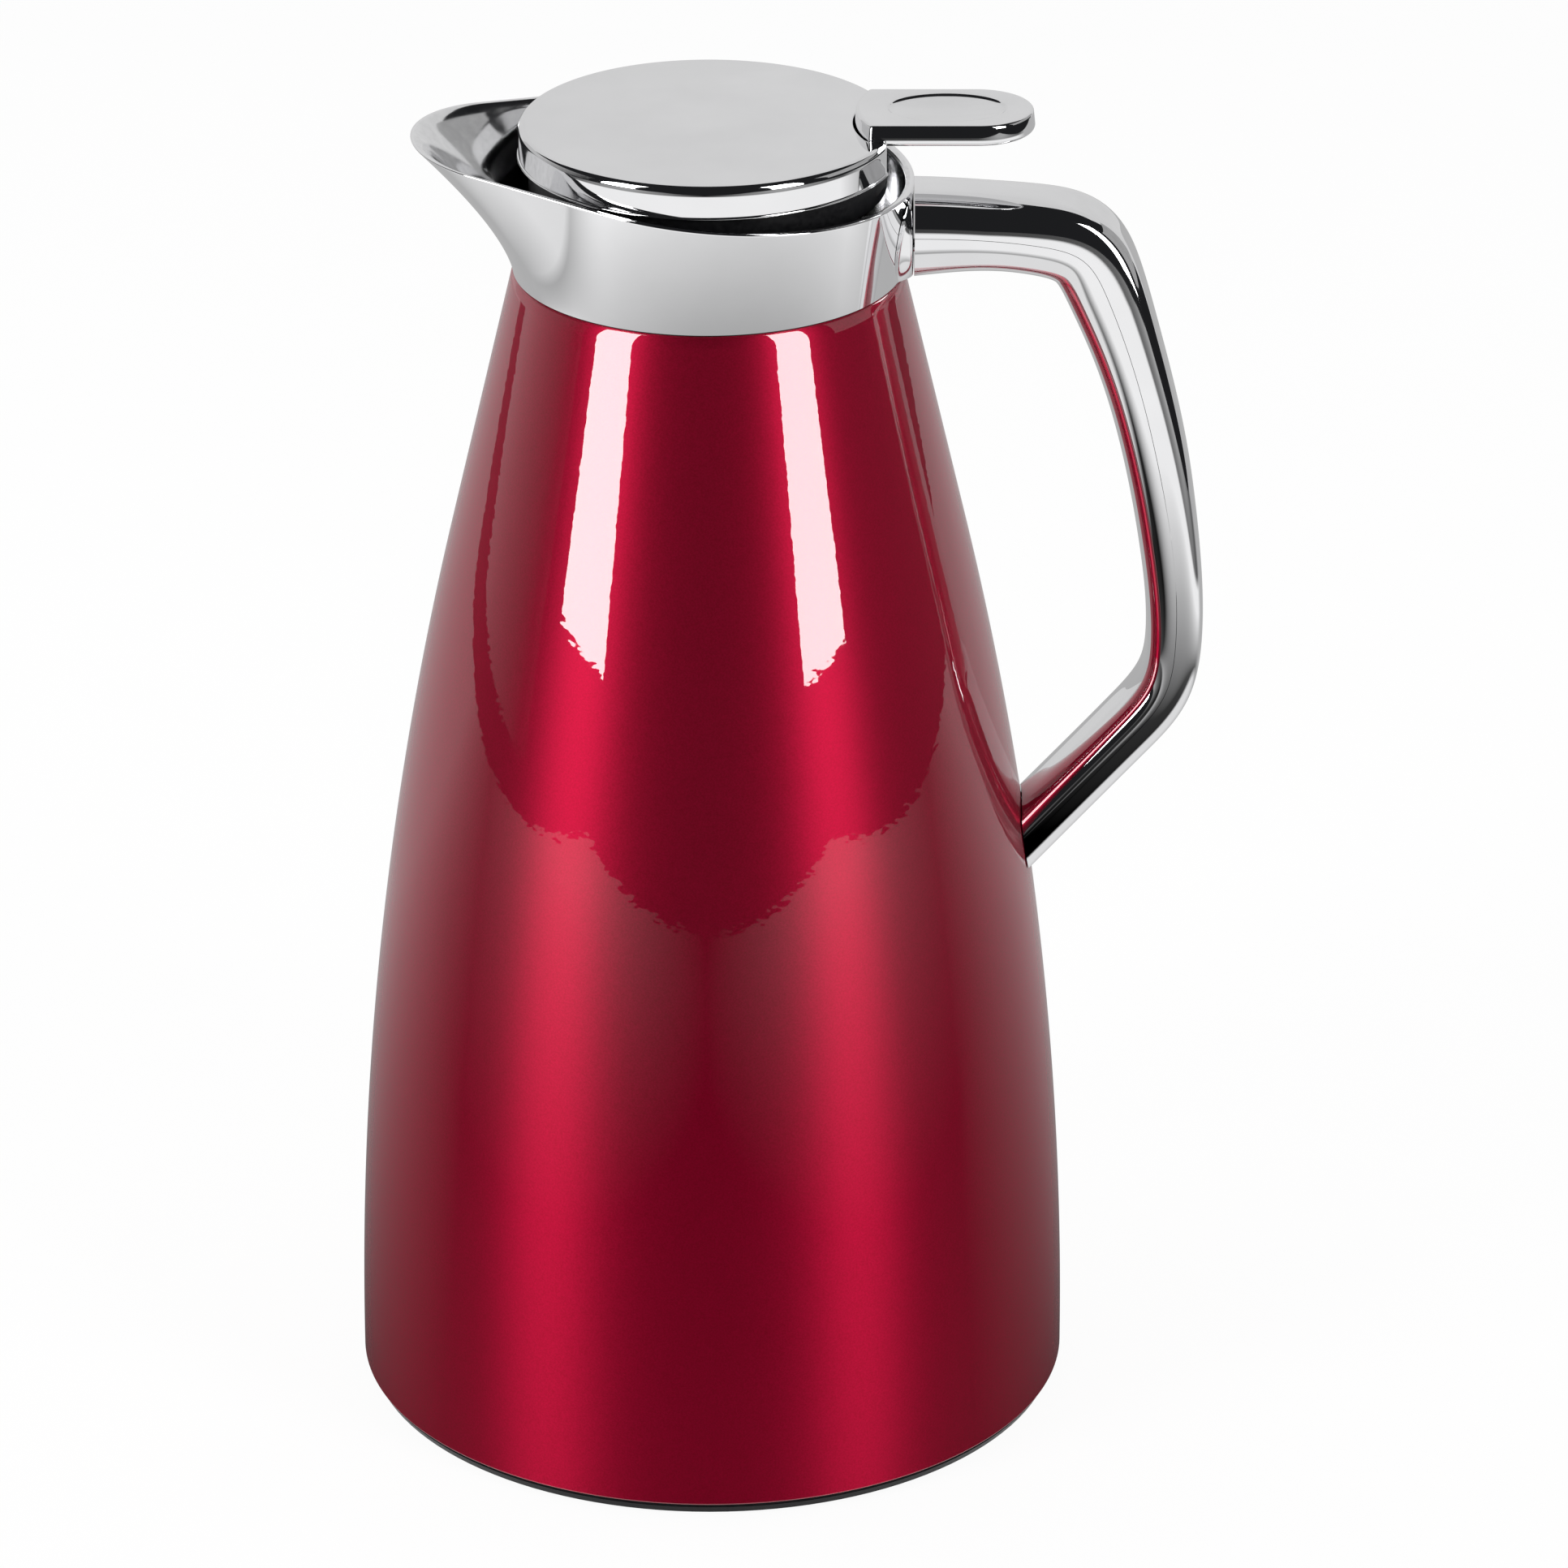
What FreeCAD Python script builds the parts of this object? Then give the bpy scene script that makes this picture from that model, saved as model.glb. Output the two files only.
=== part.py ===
import FreeCAD, Part
import math
import os
from FreeCAD import Matrix, Vector

# Thermal jug with a press-to-pour lid, in millimetres.
# The jug stands on z = 0 on its axis, the handle is on +X and the spout on -X.

# Shell: a spun cone that bulges into a straight foot
base_radius = 79.1
neck_radius = 42.0
neck_height = 263.2
straight_foot = 4.0
cone_angle = math.radians(13.2)
shell_wall = 0.9
mouth_turn_in = 3.4
shell_mouth_radius = neck_radius - mouth_turn_in
foot_height = 2.2

# Flask: two glass walls with the air drawn out between them
flask_gap = 4.0
glass_wall = 1.8
vacuum_gap = 4.0
flask_bottom = 16.0
flask_corner = 22.0
mouth_drop = 2.2
flask_top = neck_height - mouth_drop
seal_tip_radius = 3.0

# Base
foot_ring_height = 1.2
foot_ring_width = 7.0
base_wall = 2.4
base_cap_thickness = 2.6
base_ring_width = 21.1
cap_opening_radius = base_radius - base_ring_width
cushion_inset = 2.0
finger_hold_width = 12.0

# Collar with its pouring lip
joint_seal = 0.4
collar_wall = 2.1
collar_floor = 3.0
collar_height = 23.9
rim_slope = 0.092
rim_flare = 2.2
lip_round = 26.5
lip_overhang = 19.4
lip_flare = 1.6
collar_low = neck_height + joint_seal
rim_height = collar_low + collar_height
rim_radius = neck_radius + rim_flare
lip_reach = rim_radius + lip_overhang

# Neck insert
flange_margin = 2.2
flange_width = 3.6
tube_wall = 3.8
neck_flange_thickness = 1.5
neck_flange = shell_mouth_radius - flange_margin
neck_tube = neck_flange - flange_width
neck_bore = neck_tube - tube_wall

# Lid cover and stopper
lid_rise = 8.5
lid_top = rim_height + lid_rise
cover_margin = 3.8
cover_radius = rim_radius - cover_margin
cover_skirt = 7.0
cover_skirt_low = lid_top - cover_skirt
cover_sheet = 1.0
cover_edge = 1.4
cover_room = 2.1
stopper_radius = cover_radius - cover_room
stopper_wall = 1.6
cup_depth = 12.0
stopper_floor_top = lid_top - cup_depth
stopper_floor = 2.0
floor_low = stopper_floor_top - stopper_floor
pouring_gap = 9.5
neck_tube_top = floor_low - pouring_gap
plug_gap = 0.8
plug_radius = neck_bore - plug_gap
plug_wall = 2.6
plug_depth = 15.0
plug_bottom = neck_tube_top - plug_depth
seat_thickness = 2.5
port_count = 6
port_width = 19.0
post_inset = 5.7
port_height = 5.0

# Thumb lever and its pin
lever_half_width = 12.0
lever_overhang = 29.1
lever_end = cover_radius + lever_overhang
lever_sink = 1.3
lever_under = lid_top - lever_sink
lever_thickness = 4.5
lever_top = lever_under + lever_thickness
notch_depth = 9.4
notch_inner = cover_radius - notch_depth
notch_gap = 1.2
dish_length = 25.0
dish_width = 17.0
dish_depth = 1.1
pin_inset = 7.0
pin_x = notch_inner - pin_inset
pin_z = stopper_floor_top + cup_depth / 2
pin_radius = 1.5
hub_radius = 3.0
fork_drop = 2.1
fork_thickness = 2.7

# Valve
stem_radius = 3.0
valve_room = 6.6
valve_radius = plug_radius - plug_wall - valve_room
seat_lap = 4.0
seat_hole = valve_radius - seat_lap
valve_thickness = 2.0
seal_thickness = 0.95
clip_radius = 5.6
clip_thickness = 1.7
spring_radius = 9.5
spring_wire = 0.8
spring_turns = 5

# Screws and clearances
screw_radius = 1.5
screw_head = 3.2
screw_head_height = 1.6
sliding_fit = 0.05
fixed_fit = 0.02
joint_gap = 0.25
seat_gap = 0.05
moving_gap = 0.5

# Handle: where its seam line runs from the collar's boss, then the section on both sides of it
boss_proud = 1.9
boss_face = neck_radius + boss_proud
arm_rise = 9.6
arm_height = collar_low + arm_rise
foot_drop = 148.2
foot_sink = 6.65
handle_half_width = 10.4
handle_wall = 1.8
root_outer_depth = 8.6
root_inner_depth = 10.8
grip_outer_depth = 6.6
grip_inner_depth = 7.2
root_length = 40.0
outer_squareness = 3.4
inner_squareness = 2.4
seam_gap = 0.2
handle_sections = 16
solid_end = 12.0

origin = Vector(0, 0, 0)
up = Vector(0, 0, 1)


def on_profile(radius, height):
    return Vector(radius, 0, height)


def line(start, end):
    return Part.LineSegment(start, end).toShape()


def outline(points):
    """Closed chain of straight edges."""
    return [line(a, b) for a, b in zip(points, points[1:] + points[:1])]


def turned(edges):
    """Solid of revolution about the jug's axis."""
    wire = Part.Wire(Part.__sortEdges__(edges))
    return Part.Face(wire).revolve(origin, up, 360)


def ring(inner, outer, low, high):
    """Plain ring about the jug's axis."""
    body = Part.makeCylinder(outer, high - low, Vector(0, 0, low))
    return body.cut(Part.makeCylinder(inner, high - low, Vector(0, 0, low)))


def rod(radius, start, end):
    along = end - start
    return Part.makeCylinder(radius, along.Length, start, along)


def block(low, high):
    size = high - low
    return Part.makeBox(size.x, size.y, size.z, low)


# Side curve of the jug: a large arc, upright at the foot, that runs into a straight cone
bulge_radius = (
    (neck_height - straight_foot) * math.tan(cone_angle) - (base_radius - neck_radius)
) / (math.sin(cone_angle) * math.tan(cone_angle) - (1 - math.cos(cone_angle)))
bulge_centre = on_profile(base_radius - bulge_radius, straight_foot)


def side_point(angle, inset):
    reach = bulge_radius - inset
    return bulge_centre + on_profile(reach * math.cos(angle), reach * math.sin(angle))


def side_radius(height, inset):
    """Radius of the side curve, moved in by an inset."""
    if height < straight_foot:
        return base_radius - inset
    cone = side_point(cone_angle, inset)
    if height > cone.z:
        return cone.x - (height - cone.z) * math.tan(cone_angle)
    return side_point(math.asin((height - straight_foot) / (bulge_radius - inset)), inset).x


def side_edges(inset, low, high):
    """Edges of the side curve between two heights."""
    cone = side_point(cone_angle, inset)
    edges = []
    arc_low = max(low, straight_foot)
    if low < straight_foot:
        edges.append(line(on_profile(base_radius - inset, low), side_point(0, inset)))
    arc_high = min(high, cone.z)
    first = math.asin((arc_low - straight_foot) / (bulge_radius - inset))
    last = math.asin((arc_high - straight_foot) / (bulge_radius - inset))
    middle = side_point((first + last) / 2, inset)
    edges.append(Part.Arc(side_point(first, inset), middle, side_point(last, inset)).toShape())
    if high > cone.z:
        edges.append(line(cone, on_profile(side_radius(high, inset), high)))
    return edges


def side_end(inset, height):
    return on_profile(side_radius(height, inset), height)


# Outer shell: one wall of sheet with a turned-in mouth
shell_flange = neck_height - shell_wall
outer_shell = turned(
    side_edges(0, foot_height, neck_height)
    + side_edges(shell_wall, foot_height, shell_flange)
    + [
        line(side_end(0, neck_height), on_profile(shell_mouth_radius, neck_height)),
        line(on_profile(shell_mouth_radius, neck_height), on_profile(shell_mouth_radius, shell_flange)),
        line(on_profile(shell_mouth_radius, shell_flange), side_end(shell_wall, shell_flange)),
        line(side_end(shell_wall, foot_height), side_end(0, foot_height)),
    ]
)


# Glass flask: each wall follows the side curve and closes in a rounded bottom
def flask_form(inset, low, high):
    """Solid inside one glass surface."""
    corner = flask_corner + flask_bottom - low
    side = side_end(inset, low + corner)
    bend = side + on_profile(-corner, 0) + on_profile(math.cos(-math.pi / 4), math.sin(-math.pi / 4)) * corner
    return turned(
        side_edges(inset, low + corner, high)
        + [
            line(side_end(inset, high), on_profile(0, high)),
            line(on_profile(0, high), on_profile(0, low)),
            line(on_profile(0, low), on_profile(side.x - corner, low)),
            Part.Arc(on_profile(side.x - corner, low), bend, side).toShape(),
        ]
    )


outside = shell_wall + flask_gap
flask_steps = [0, glass_wall, glass_wall + vacuum_gap, 2 * glass_wall + vacuum_gap]
glass_outside = flask_form(outside, flask_bottom, flask_top)
void_outside = flask_form(outside + flask_steps[1], flask_bottom + flask_steps[1], flask_top - glass_wall)
void_inside = flask_form(outside + flask_steps[2], flask_bottom + flask_steps[2], flask_top)
flask_room = flask_form(outside + flask_steps[3], flask_bottom + flask_steps[3], flask_top)
seal_hole = Part.makeCylinder(seal_tip_radius, 2 * glass_wall, Vector(0, 0, flask_bottom - glass_wall / 2))
glass_flask = glass_outside.cut(void_outside.cut(void_inside)).cut(flask_room).cut(seal_hole)
glass_flask = glass_flask.makeFillet(
    glass_wall,
    [e for e in glass_flask.Edges if e.Closed and abs(e.BoundBox.ZMin - flask_top) < 0.01],
)

# Drawn-off glass tip that closes the flask below
tip_neck = seal_tip_radius - fixed_fit
flask_seal_tip = turned(
    outline(
        [
            on_profile(0, flask_bottom + glass_wall),
            on_profile(tip_neck, flask_bottom + glass_wall),
            on_profile(tip_neck, flask_bottom),
            on_profile(tip_neck * 0.8, flask_bottom - 3),
            on_profile(tip_neck * 0.3, flask_bottom - 6),
            on_profile(0, flask_bottom - 6.5),
        ]
    )
)

# Base: a ring that carries the shell, a cap that screws into it, a cushion and a soft foot
ring_top = foot_height + 6
ring_inner = side_radius(foot_height, shell_wall) - fixed_fit
base_ring = turned(
    outline(
        [
            on_profile(cap_opening_radius, foot_ring_height / 2),
            on_profile(base_radius - 1.6, foot_ring_height / 2),
            on_profile(base_radius - 0.8, foot_height),
            on_profile(ring_inner, foot_height),
            on_profile(ring_inner, ring_top),
            on_profile(ring_inner - base_wall, ring_top),
            on_profile(ring_inner - base_wall, foot_height + base_wall),
            on_profile(cap_opening_radius + base_wall, foot_height + base_wall),
            on_profile(cap_opening_radius + base_wall, ring_top),
            on_profile(cap_opening_radius, ring_top),
        ]
    )
)
foot_outer = base_radius - 6
base_ring = base_ring.cut(
    ring(foot_outer - foot_ring_width, foot_outer, 0, foot_ring_height)
)
foot_ring = ring(foot_outer - foot_ring_width + fixed_fit, foot_outer - fixed_fit, 0, foot_ring_height)
cap_radius = cap_opening_radius - fixed_fit
cap_low = 0.0
cap_high = cap_low + base_cap_thickness
base_cap = turned(
    outline(
        [
            on_profile(0, cap_low),
            on_profile(cap_radius, cap_low),
            on_profile(cap_radius, ring_top + 1),
            on_profile(cap_radius - base_wall, ring_top + 1),
            on_profile(cap_radius - base_wall, cap_high),
            on_profile(0, cap_high),
        ]
    )
)
for side in (1, -1):
    finger_hold = block(
        Vector(side * cap_radius * 0.59 - 9, -finger_hold_width / 2, cap_low),
        Vector(side * cap_radius * 0.59 + 9, finger_hold_width / 2, cap_low + base_cap_thickness / 2),
    )
    base_cap = base_cap.cut(finger_hold)
cushion_outer = side_radius(flask_bottom + flask_corner, outside) - flask_corner - cushion_inset
flask_support = turned(
    outline(
        [
            on_profile(cushion_outer - 14, cap_high),
            on_profile(cushion_outer, cap_high),
            on_profile(cushion_outer - 2, flask_bottom),
            on_profile(cushion_outer - 12, flask_bottom),
        ]
    )
)

# Collar: a round neck that opens into the pouring lip, with the rim cut on a slope
lip_centre = lip_reach - lip_round
lip_tangent = math.acos((rim_radius - lip_round) / lip_centre)
lip_edge = math.atan2(
    lip_round * math.sin(lip_tangent), lip_centre + lip_round * math.cos(lip_tangent)
)


def rim_reach(turn):
    """Rim radius at an angle from the spout: a small round ahead of a large one, joined by tangents."""
    if turn < lip_edge:
        across = lip_centre * math.sin(turn)
        return lip_centre * math.cos(turn) + math.sqrt(lip_round**2 - across**2)
    if turn < lip_tangent:
        return rim_radius / math.cos(turn - lip_tangent)
    return rim_radius


def collar_section(rise, inset):
    """Closed section of the collar: rise is 0 at the shell and 1 at the rim."""
    count = 48
    points = []
    for step in range(count):
        angle = 2 * math.pi * step / count
        spout_turn = abs(math.pi - angle)
        reach = neck_radius + rise * (rim_radius - neck_radius) - inset
        reach += rise**lip_flare * (rim_reach(spout_turn) - rim_radius)
        x = reach * math.cos(angle)
        y = reach * math.sin(angle)
        height = collar_low + rise * (rim_height - collar_low - rim_slope * x)
        points.append(Vector(x, y, height))
    curve = Part.BSplineCurve()
    curve.interpolate(Points=points, PeriodicFlag=True)
    return Part.Wire(curve.toShape())


collar_rises = [0, 0.2, 0.4, 0.6, 0.8, 1.0]
collar_body = Part.makeLoft([collar_section(rise, 0) for rise in collar_rises], True)
bowl_rises = [0.04, 0.2, 0.4, 0.6, 0.8, 1.0, 1.1]
bowl = Part.makeLoft([collar_section(rise, collar_wall) for rise in bowl_rises], True)
floor_top = collar_low + collar_floor
above_floor = block(Vector(-90, -90, floor_top), Vector(90, 90, rim_height + 40))
bowl = bowl.common(above_floor)


# Handle: a bowed grip in two half shells that meet on a seam
def smooth_step(value):
    value = min(max(value, 0), 1)
    return value * value * (3 - 2 * value)


def seam_point(reach, share):
    """Point of the seam line, out from the boss and a share of the way down to the foot."""
    return Vector(boss_face + reach, 0, arm_height - share * foot_drop)


arm_start = seam_point(joint_gap, 0)
arm_end = seam_point(26.6, 0.0135)
upper_bend = seam_point(35.7, 0.0378)
grip_top = seam_point(40.9, 0.0924)
grip_middle = seam_point(53.5, 0.3657)
grip_bottom = seam_point(58.5, 0.6356)
lower_bend = seam_point(55.9, 0.72)
foot_start = seam_point(48.1, 0.7908)
foot_end = side_end(foot_sink, arm_height - foot_drop)
handle_line = Part.BSplineCurve()
handle_line.interpolate(
    Points=[
        arm_start,
        arm_end,
        upper_bend,
        grip_top,
        grip_middle,
        grip_bottom,
        lower_bend,
        foot_start,
        foot_end,
    ],
    InitialTangent=Vector(1, 0, 0),
    FinalTangent=foot_end - foot_start,
)
handle_length = handle_line.length()


def section_points(along, side, inset):
    """Half of the handle's outline at a length along it; side is 1 outside the seam and -1 inside."""
    place = handle_line.parameterAtDistance(along, handle_line.FirstParameter)
    centre = handle_line.value(place)
    forward = Vector(*handle_line.tangent(place)[0])
    outward = Vector(-forward.z, 0, forward.x)
    settle = smooth_step(along / root_length)
    if side > 0:
        depth = root_outer_depth + settle * (grip_outer_depth - root_outer_depth)
        power = 2 / outer_squareness
    else:
        depth = root_inner_depth + settle * (grip_inner_depth - root_inner_depth)
        power = 2 / inner_squareness
    width = handle_half_width - inset
    depth = depth - inset - seam_gap / 2
    points = []
    for step in range(17):
        angle = math.pi * step / 16
        across = side * math.copysign(abs(math.cos(angle)) ** power, math.cos(angle)) * width
        away = side * (seam_gap / 2 + abs(math.sin(angle)) ** power * depth)
        points.append(centre + Vector(0, across, 0) + outward * away)
    return points


def half_section(along, side, inset):
    points = section_points(along, side, inset)
    curve = Part.BSplineCurve()
    curve.interpolate(points)
    return Part.Wire([curve.toShape(), line(points[-1], points[0])])


def half_solid(side, inset, begin, end):
    """Sweep of the half section along the handle, from the deep root to the slimmer grip."""
    first = handle_line.parameterAtDistance(begin, handle_line.FirstParameter)
    last = handle_line.parameterAtDistance(end, handle_line.FirstParameter)
    sweep = Part.BRepOffsetAPI.MakePipeShell(Part.Wire(handle_line.toShape(first, last)))
    sweep.setBiNormalMode(Vector(0, 1, 0))
    for step in range(handle_sections + 1):
        along = begin + (end - begin) * step / handle_sections
        sweep.add(half_section(along, side, inset), False, False)
    sweep.build()
    sweep.makeSolid()
    return sweep.shape()


def half_shell(side):
    """One half of the handle, hollow between its solid ends."""
    body = half_solid(side, 0, 0, handle_length)
    hollow = half_solid(side, handle_wall, arm_hollow, handle_length - foot_hollow)
    return body.cut(hollow).cut(shell_clearance)


arm_hollow = solid_end
foot_hollow = solid_end + 14
shell_clearance = turned(
    side_edges(-joint_gap, foot_height, neck_height)
    + [
        line(side_end(-joint_gap, neck_height), on_profile(0, neck_height)),
        line(on_profile(0, neck_height), on_profile(0, foot_height)),
        line(on_profile(0, foot_height), side_end(-joint_gap, foot_height)),
    ]
)
handle_outer_shell = half_shell(1)
handle_inner_shell = half_shell(-1)

# Boss of the collar that meets the handle, spread into the collar's wall


def boss_outline(x, spread):
    """Handle outline laid on an upright plane and spread from its middle."""
    loop = [p for side in (1, -1) for p in section_points(0, side, 0)[1:-1]]
    middle = sum((p.z for p in loop), 0) / len(loop)
    flat = [Vector(x, p.y * spread, middle + (p.z - middle) * spread) for p in loop]
    curve = Part.BSplineCurve()
    curve.interpolate(Points=flat, PeriodicFlag=True)
    return Part.Wire(curve.toShape())


boss = Part.makeLoft([boss_outline(boss_face - 7, 1.3), boss_outline(boss_face, 1)], True, True)
boss = boss.common(block(Vector(0, -40, collar_low), Vector(90, 40, rim_height)))
collar = collar_body.fuse(boss).cut(bowl).removeSplitter()
collar = collar.cut(Part.makeCylinder(neck_tube + fixed_fit, 20, Vector(0, 0, collar_low - 5)))

# Screws that hold the handle, from inside the collar and from inside the shell
upper_screw_z = arm_height - 5.2
upper_screw_start = Vector(neck_radius - collar_wall - screw_head_height - 0.2, 0, upper_screw_z)
upper_screw_end = Vector(boss_face + 9, 0, upper_screw_z)
lower_screw_z = foot_end.z + 14.4
lower_seat = side_radius(lower_screw_z + screw_head, shell_wall) - joint_gap
lower_screw_start = Vector(lower_seat - screw_head_height, 0, lower_screw_z)
lower_screw_end = Vector(lower_seat + 7, 0, lower_screw_z)


def round_head_screw(start, end):
    """Screw along +X with its head at the start."""
    shank = rod(screw_radius, start, end)
    head = rod(screw_head, start, start + Vector(screw_head_height, 0, 0))
    slot = block(start + Vector(-1, -screw_head, -0.4), start + Vector(0.7, screw_head, 0.4))
    return shank.fuse(head).removeSplitter().cut(slot)


handle_upper_screw = round_head_screw(upper_screw_start, upper_screw_end)
handle_lower_screw = round_head_screw(lower_screw_start, lower_screw_end)
upper_hole = rod(screw_radius + fixed_fit, upper_screw_start, upper_screw_end + Vector(0.3, 0, 0))
lower_hole = rod(screw_radius + fixed_fit, lower_screw_start, lower_screw_end + Vector(0.3, 0, 0))
upper_seat = rod(screw_head + 0.3, upper_screw_start, upper_screw_start + Vector(screw_head_height, 0, 0))
collar = collar.cut(upper_hole).cut(upper_seat)
handle_inner_shell = handle_inner_shell.cut(upper_hole).cut(lower_hole)
handle_outer_shell = handle_outer_shell.cut(upper_hole).cut(lower_hole)
outer_shell = outer_shell.cut(lower_hole)

# Thin dark seal between the shell and the collar
shell_gasket = ring(shell_mouth_radius, neck_radius - 0.5, neck_height, collar_low)

# Neck insert on the mouth of the flask, clamped under the collar's floor
insert_low = collar_low - neck_flange_thickness
neck_insert = ring(neck_bore, neck_tube, insert_low, neck_tube_top)
neck_insert = neck_insert.fuse(ring(neck_bore, neck_flange, insert_low, collar_low)).removeSplitter()
mouth_gasket = ring(side_radius(flask_top, outside + flask_steps[3]) + 1, neck_flange, flask_top, insert_low)

# Lid cover: a spun disc with a short skirt, cut out for the thumb lever
skirt_out = cover_radius + 0.5
notch_centre = lever_end - lever_half_width
notch_radius = notch_centre - notch_inner
cover_bend = math.sqrt(0.5) * cover_edge
lid_cover = turned(
    [
        line(on_profile(0, lid_top), on_profile(cover_radius - cover_edge, lid_top)),
        Part.Arc(
            on_profile(cover_radius - cover_edge, lid_top),
            on_profile(cover_radius - cover_edge + cover_bend, lid_top - cover_edge + cover_bend),
            on_profile(cover_radius, lid_top - cover_edge),
        ).toShape(),
        line(on_profile(cover_radius, lid_top - cover_edge), on_profile(skirt_out, cover_skirt_low)),
        line(on_profile(skirt_out, cover_skirt_low), on_profile(skirt_out - cover_sheet, cover_skirt_low)),
        line(
            on_profile(skirt_out - cover_sheet, cover_skirt_low),
            on_profile(cover_radius - cover_sheet, lid_top - cover_sheet),
        ),
        line(on_profile(cover_radius - cover_sheet, lid_top - cover_sheet), on_profile(0, lid_top - cover_sheet)),
        line(on_profile(0, lid_top - cover_sheet), on_profile(0, lid_top)),
    ]
)
notch = Part.makeCylinder(notch_radius, 30, Vector(notch_centre, 0, cover_skirt_low - 10))
cover_post_radius = 3.4
post_ring = stopper_radius - post_inset
post_back = 8.0
post_side = math.sqrt(post_ring**2 - post_back**2)
cover_posts = [Vector(-post_back, side * post_side, stopper_floor_top) for side in (1, -1)]
for foot in cover_posts:
    post = Part.makeCylinder(cover_post_radius, lid_top - cover_sheet / 2 - foot.z, foot)
    lid_cover = lid_cover.fuse(post)
lid_cover = lid_cover.removeSplitter().cut(notch)

# Stopper body: a cup under the cover and a ported plug in the neck
cup_top = lid_top - cover_sheet - seat_gap
stopper_body = ring(stopper_radius - stopper_wall, stopper_radius, floor_low, cup_top)
stopper_body = stopper_body.fuse(Part.makeCylinder(stopper_radius, stopper_floor, Vector(0, 0, floor_low)))
stopper_body = stopper_body.fuse(ring(plug_radius - plug_wall, plug_radius, plug_bottom, floor_low))
stopper_body = stopper_body.fuse(ring(seat_hole, plug_radius, plug_bottom, plug_bottom + seat_thickness))
gasket_low = neck_tube_top + seat_gap
gasket_thickness = 1.5
shoulder_low = gasket_low + gasket_thickness + seat_gap
stopper_body = stopper_body.fuse(ring(plug_radius - plug_wall, neck_tube - 0.8, shoulder_low, shoulder_low + 1.8))
guide_length = 7.0
stem_guide = Part.makeCylinder(6.0, guide_length, Vector(0, 0, floor_low - guide_length))
stopper_body = stopper_body.fuse(stem_guide)
hub_half = 8.0
ear_gap = 0.4
ear_thickness = 3.6
for side in (1, -1):
    near = side * (hub_half + ear_gap)
    far = side * (hub_half + ear_gap + ear_thickness)
    ear = block(
        Vector(pin_x - 4, min(near, far), floor_low),
        Vector(pin_x + 4, max(near, far), pin_z + hub_radius),
    )
    stopper_body = stopper_body.fuse(ear)
stopper_body = stopper_body.removeSplitter()
port_low = shoulder_low + 2.0
for step in range(port_count):
    window = block(
        Vector(plug_radius - plug_wall - 3, -port_width / 2, port_low),
        Vector(plug_radius + 3, port_width / 2, port_low + port_height),
    )
    window.rotate(origin, up, 360 * (step + 0.5) / port_count)
    stopper_body = stopper_body.cut(window)
lever_window = block(
    Vector(pin_x + 6, -lever_half_width - 1.5, stopper_floor_top),
    Vector(stopper_radius + 2, lever_half_width + 1.5, cup_top + 5),
)
stopper_body = stopper_body.cut(lever_window)
stopper_body = stopper_body.cut(
    Part.makeCylinder(stem_radius + sliding_fit, 40, Vector(0, 0, floor_low - guide_length - 5))
)
pin_half = hub_half + ear_gap + ear_thickness
pin_hole = rod(pin_radius + fixed_fit, Vector(pin_x, -40, pin_z), Vector(pin_x, 40, pin_z))
stopper_body = stopper_body.cut(pin_hole)
for foot in cover_posts:
    stopper_body = stopper_body.cut(
        Part.makeCylinder(screw_radius + fixed_fit, 10, Vector(foot.x, foot.y, floor_low - 5))
    )
lever_pin = rod(pin_radius, Vector(pin_x, -pin_half, pin_z), Vector(pin_x, pin_half, pin_z))

# Screws that hold the cover, from under the stopper
post_depth = 6.0
cover_screws = []
for foot in cover_posts:
    low = Vector(foot.x, foot.y, floor_low - screw_head_height)
    head = Part.makeCylinder(screw_head - 0.4, screw_head_height, low)
    shank = Part.makeCylinder(screw_radius, screw_head_height + stopper_floor + post_depth, low)
    slot = block(low + Vector(-4, -0.4, -1), low + Vector(4, 0.4, 0.7))
    cover_screws.append(head.fuse(shank).removeSplitter().cut(slot))
    drill = Part.makeCylinder(screw_radius + fixed_fit, post_depth + 0.3, foot)
    lid_cover = lid_cover.cut(drill)
cover_screw_left, cover_screw_right = cover_screws

# Soft seal that the stopper's shoulder presses on the neck insert
stopper_gasket = ring(plug_radius + 0.4, neck_tube - 0.4, gasket_low, gasket_low + gasket_thickness)

# Thumb lever: dished plate outside, hub on the pin, fork under the valve clip
fork_high = pin_z - fork_drop
fork_low = fork_high - fork_thickness
fork_half = 6.3
fork_reach = 2.4
plate_height = lever_top - lever_under
plate = block(
    Vector(notch_inner, -lever_half_width, lever_under),
    Vector(notch_centre, lever_half_width, lever_top),
)
plate = plate.fuse(Part.makeCylinder(lever_half_width, plate_height, Vector(notch_centre, 0, lever_under)))
inner_end = Part.makeCylinder(notch_radius - notch_gap, plate_height, Vector(notch_centre, 0, lever_under))
plate = plate.common(inner_end).removeSplitter()
plate = plate.makeFillet(1.3, [e for e in plate.Edges if abs(e.BoundBox.ZMax - lever_under) < 0.01])
plate = plate.makeFillet(0.7, [e for e in plate.Edges if abs(e.BoundBox.ZMin - lever_top) < 0.01])
dish_radius = (dish_width**2 / 4 + dish_depth**2) / (2 * dish_depth)
stretch = Matrix()
stretch.A11 = dish_length / dish_width
dish = Part.makeSphere(dish_radius).transformGeometry(stretch)
dish.translate(Vector(notch_centre - 6.5, 0, lever_top + dish_radius - dish_depth))
plate = plate.cut(dish)
hub = rod(hub_radius, Vector(pin_x, -hub_half, pin_z), Vector(pin_x, hub_half, pin_z))
rocker = block(
    Vector(pin_x, -hub_half, pin_z - 1), Vector(stopper_radius - 0.5, hub_half, lever_under + 1.0)
).cut(block(Vector(pin_x, -20, lid_top - cover_sheet - moving_gap), Vector(notch_inner + notch_gap, 20, lid_top)))
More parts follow.
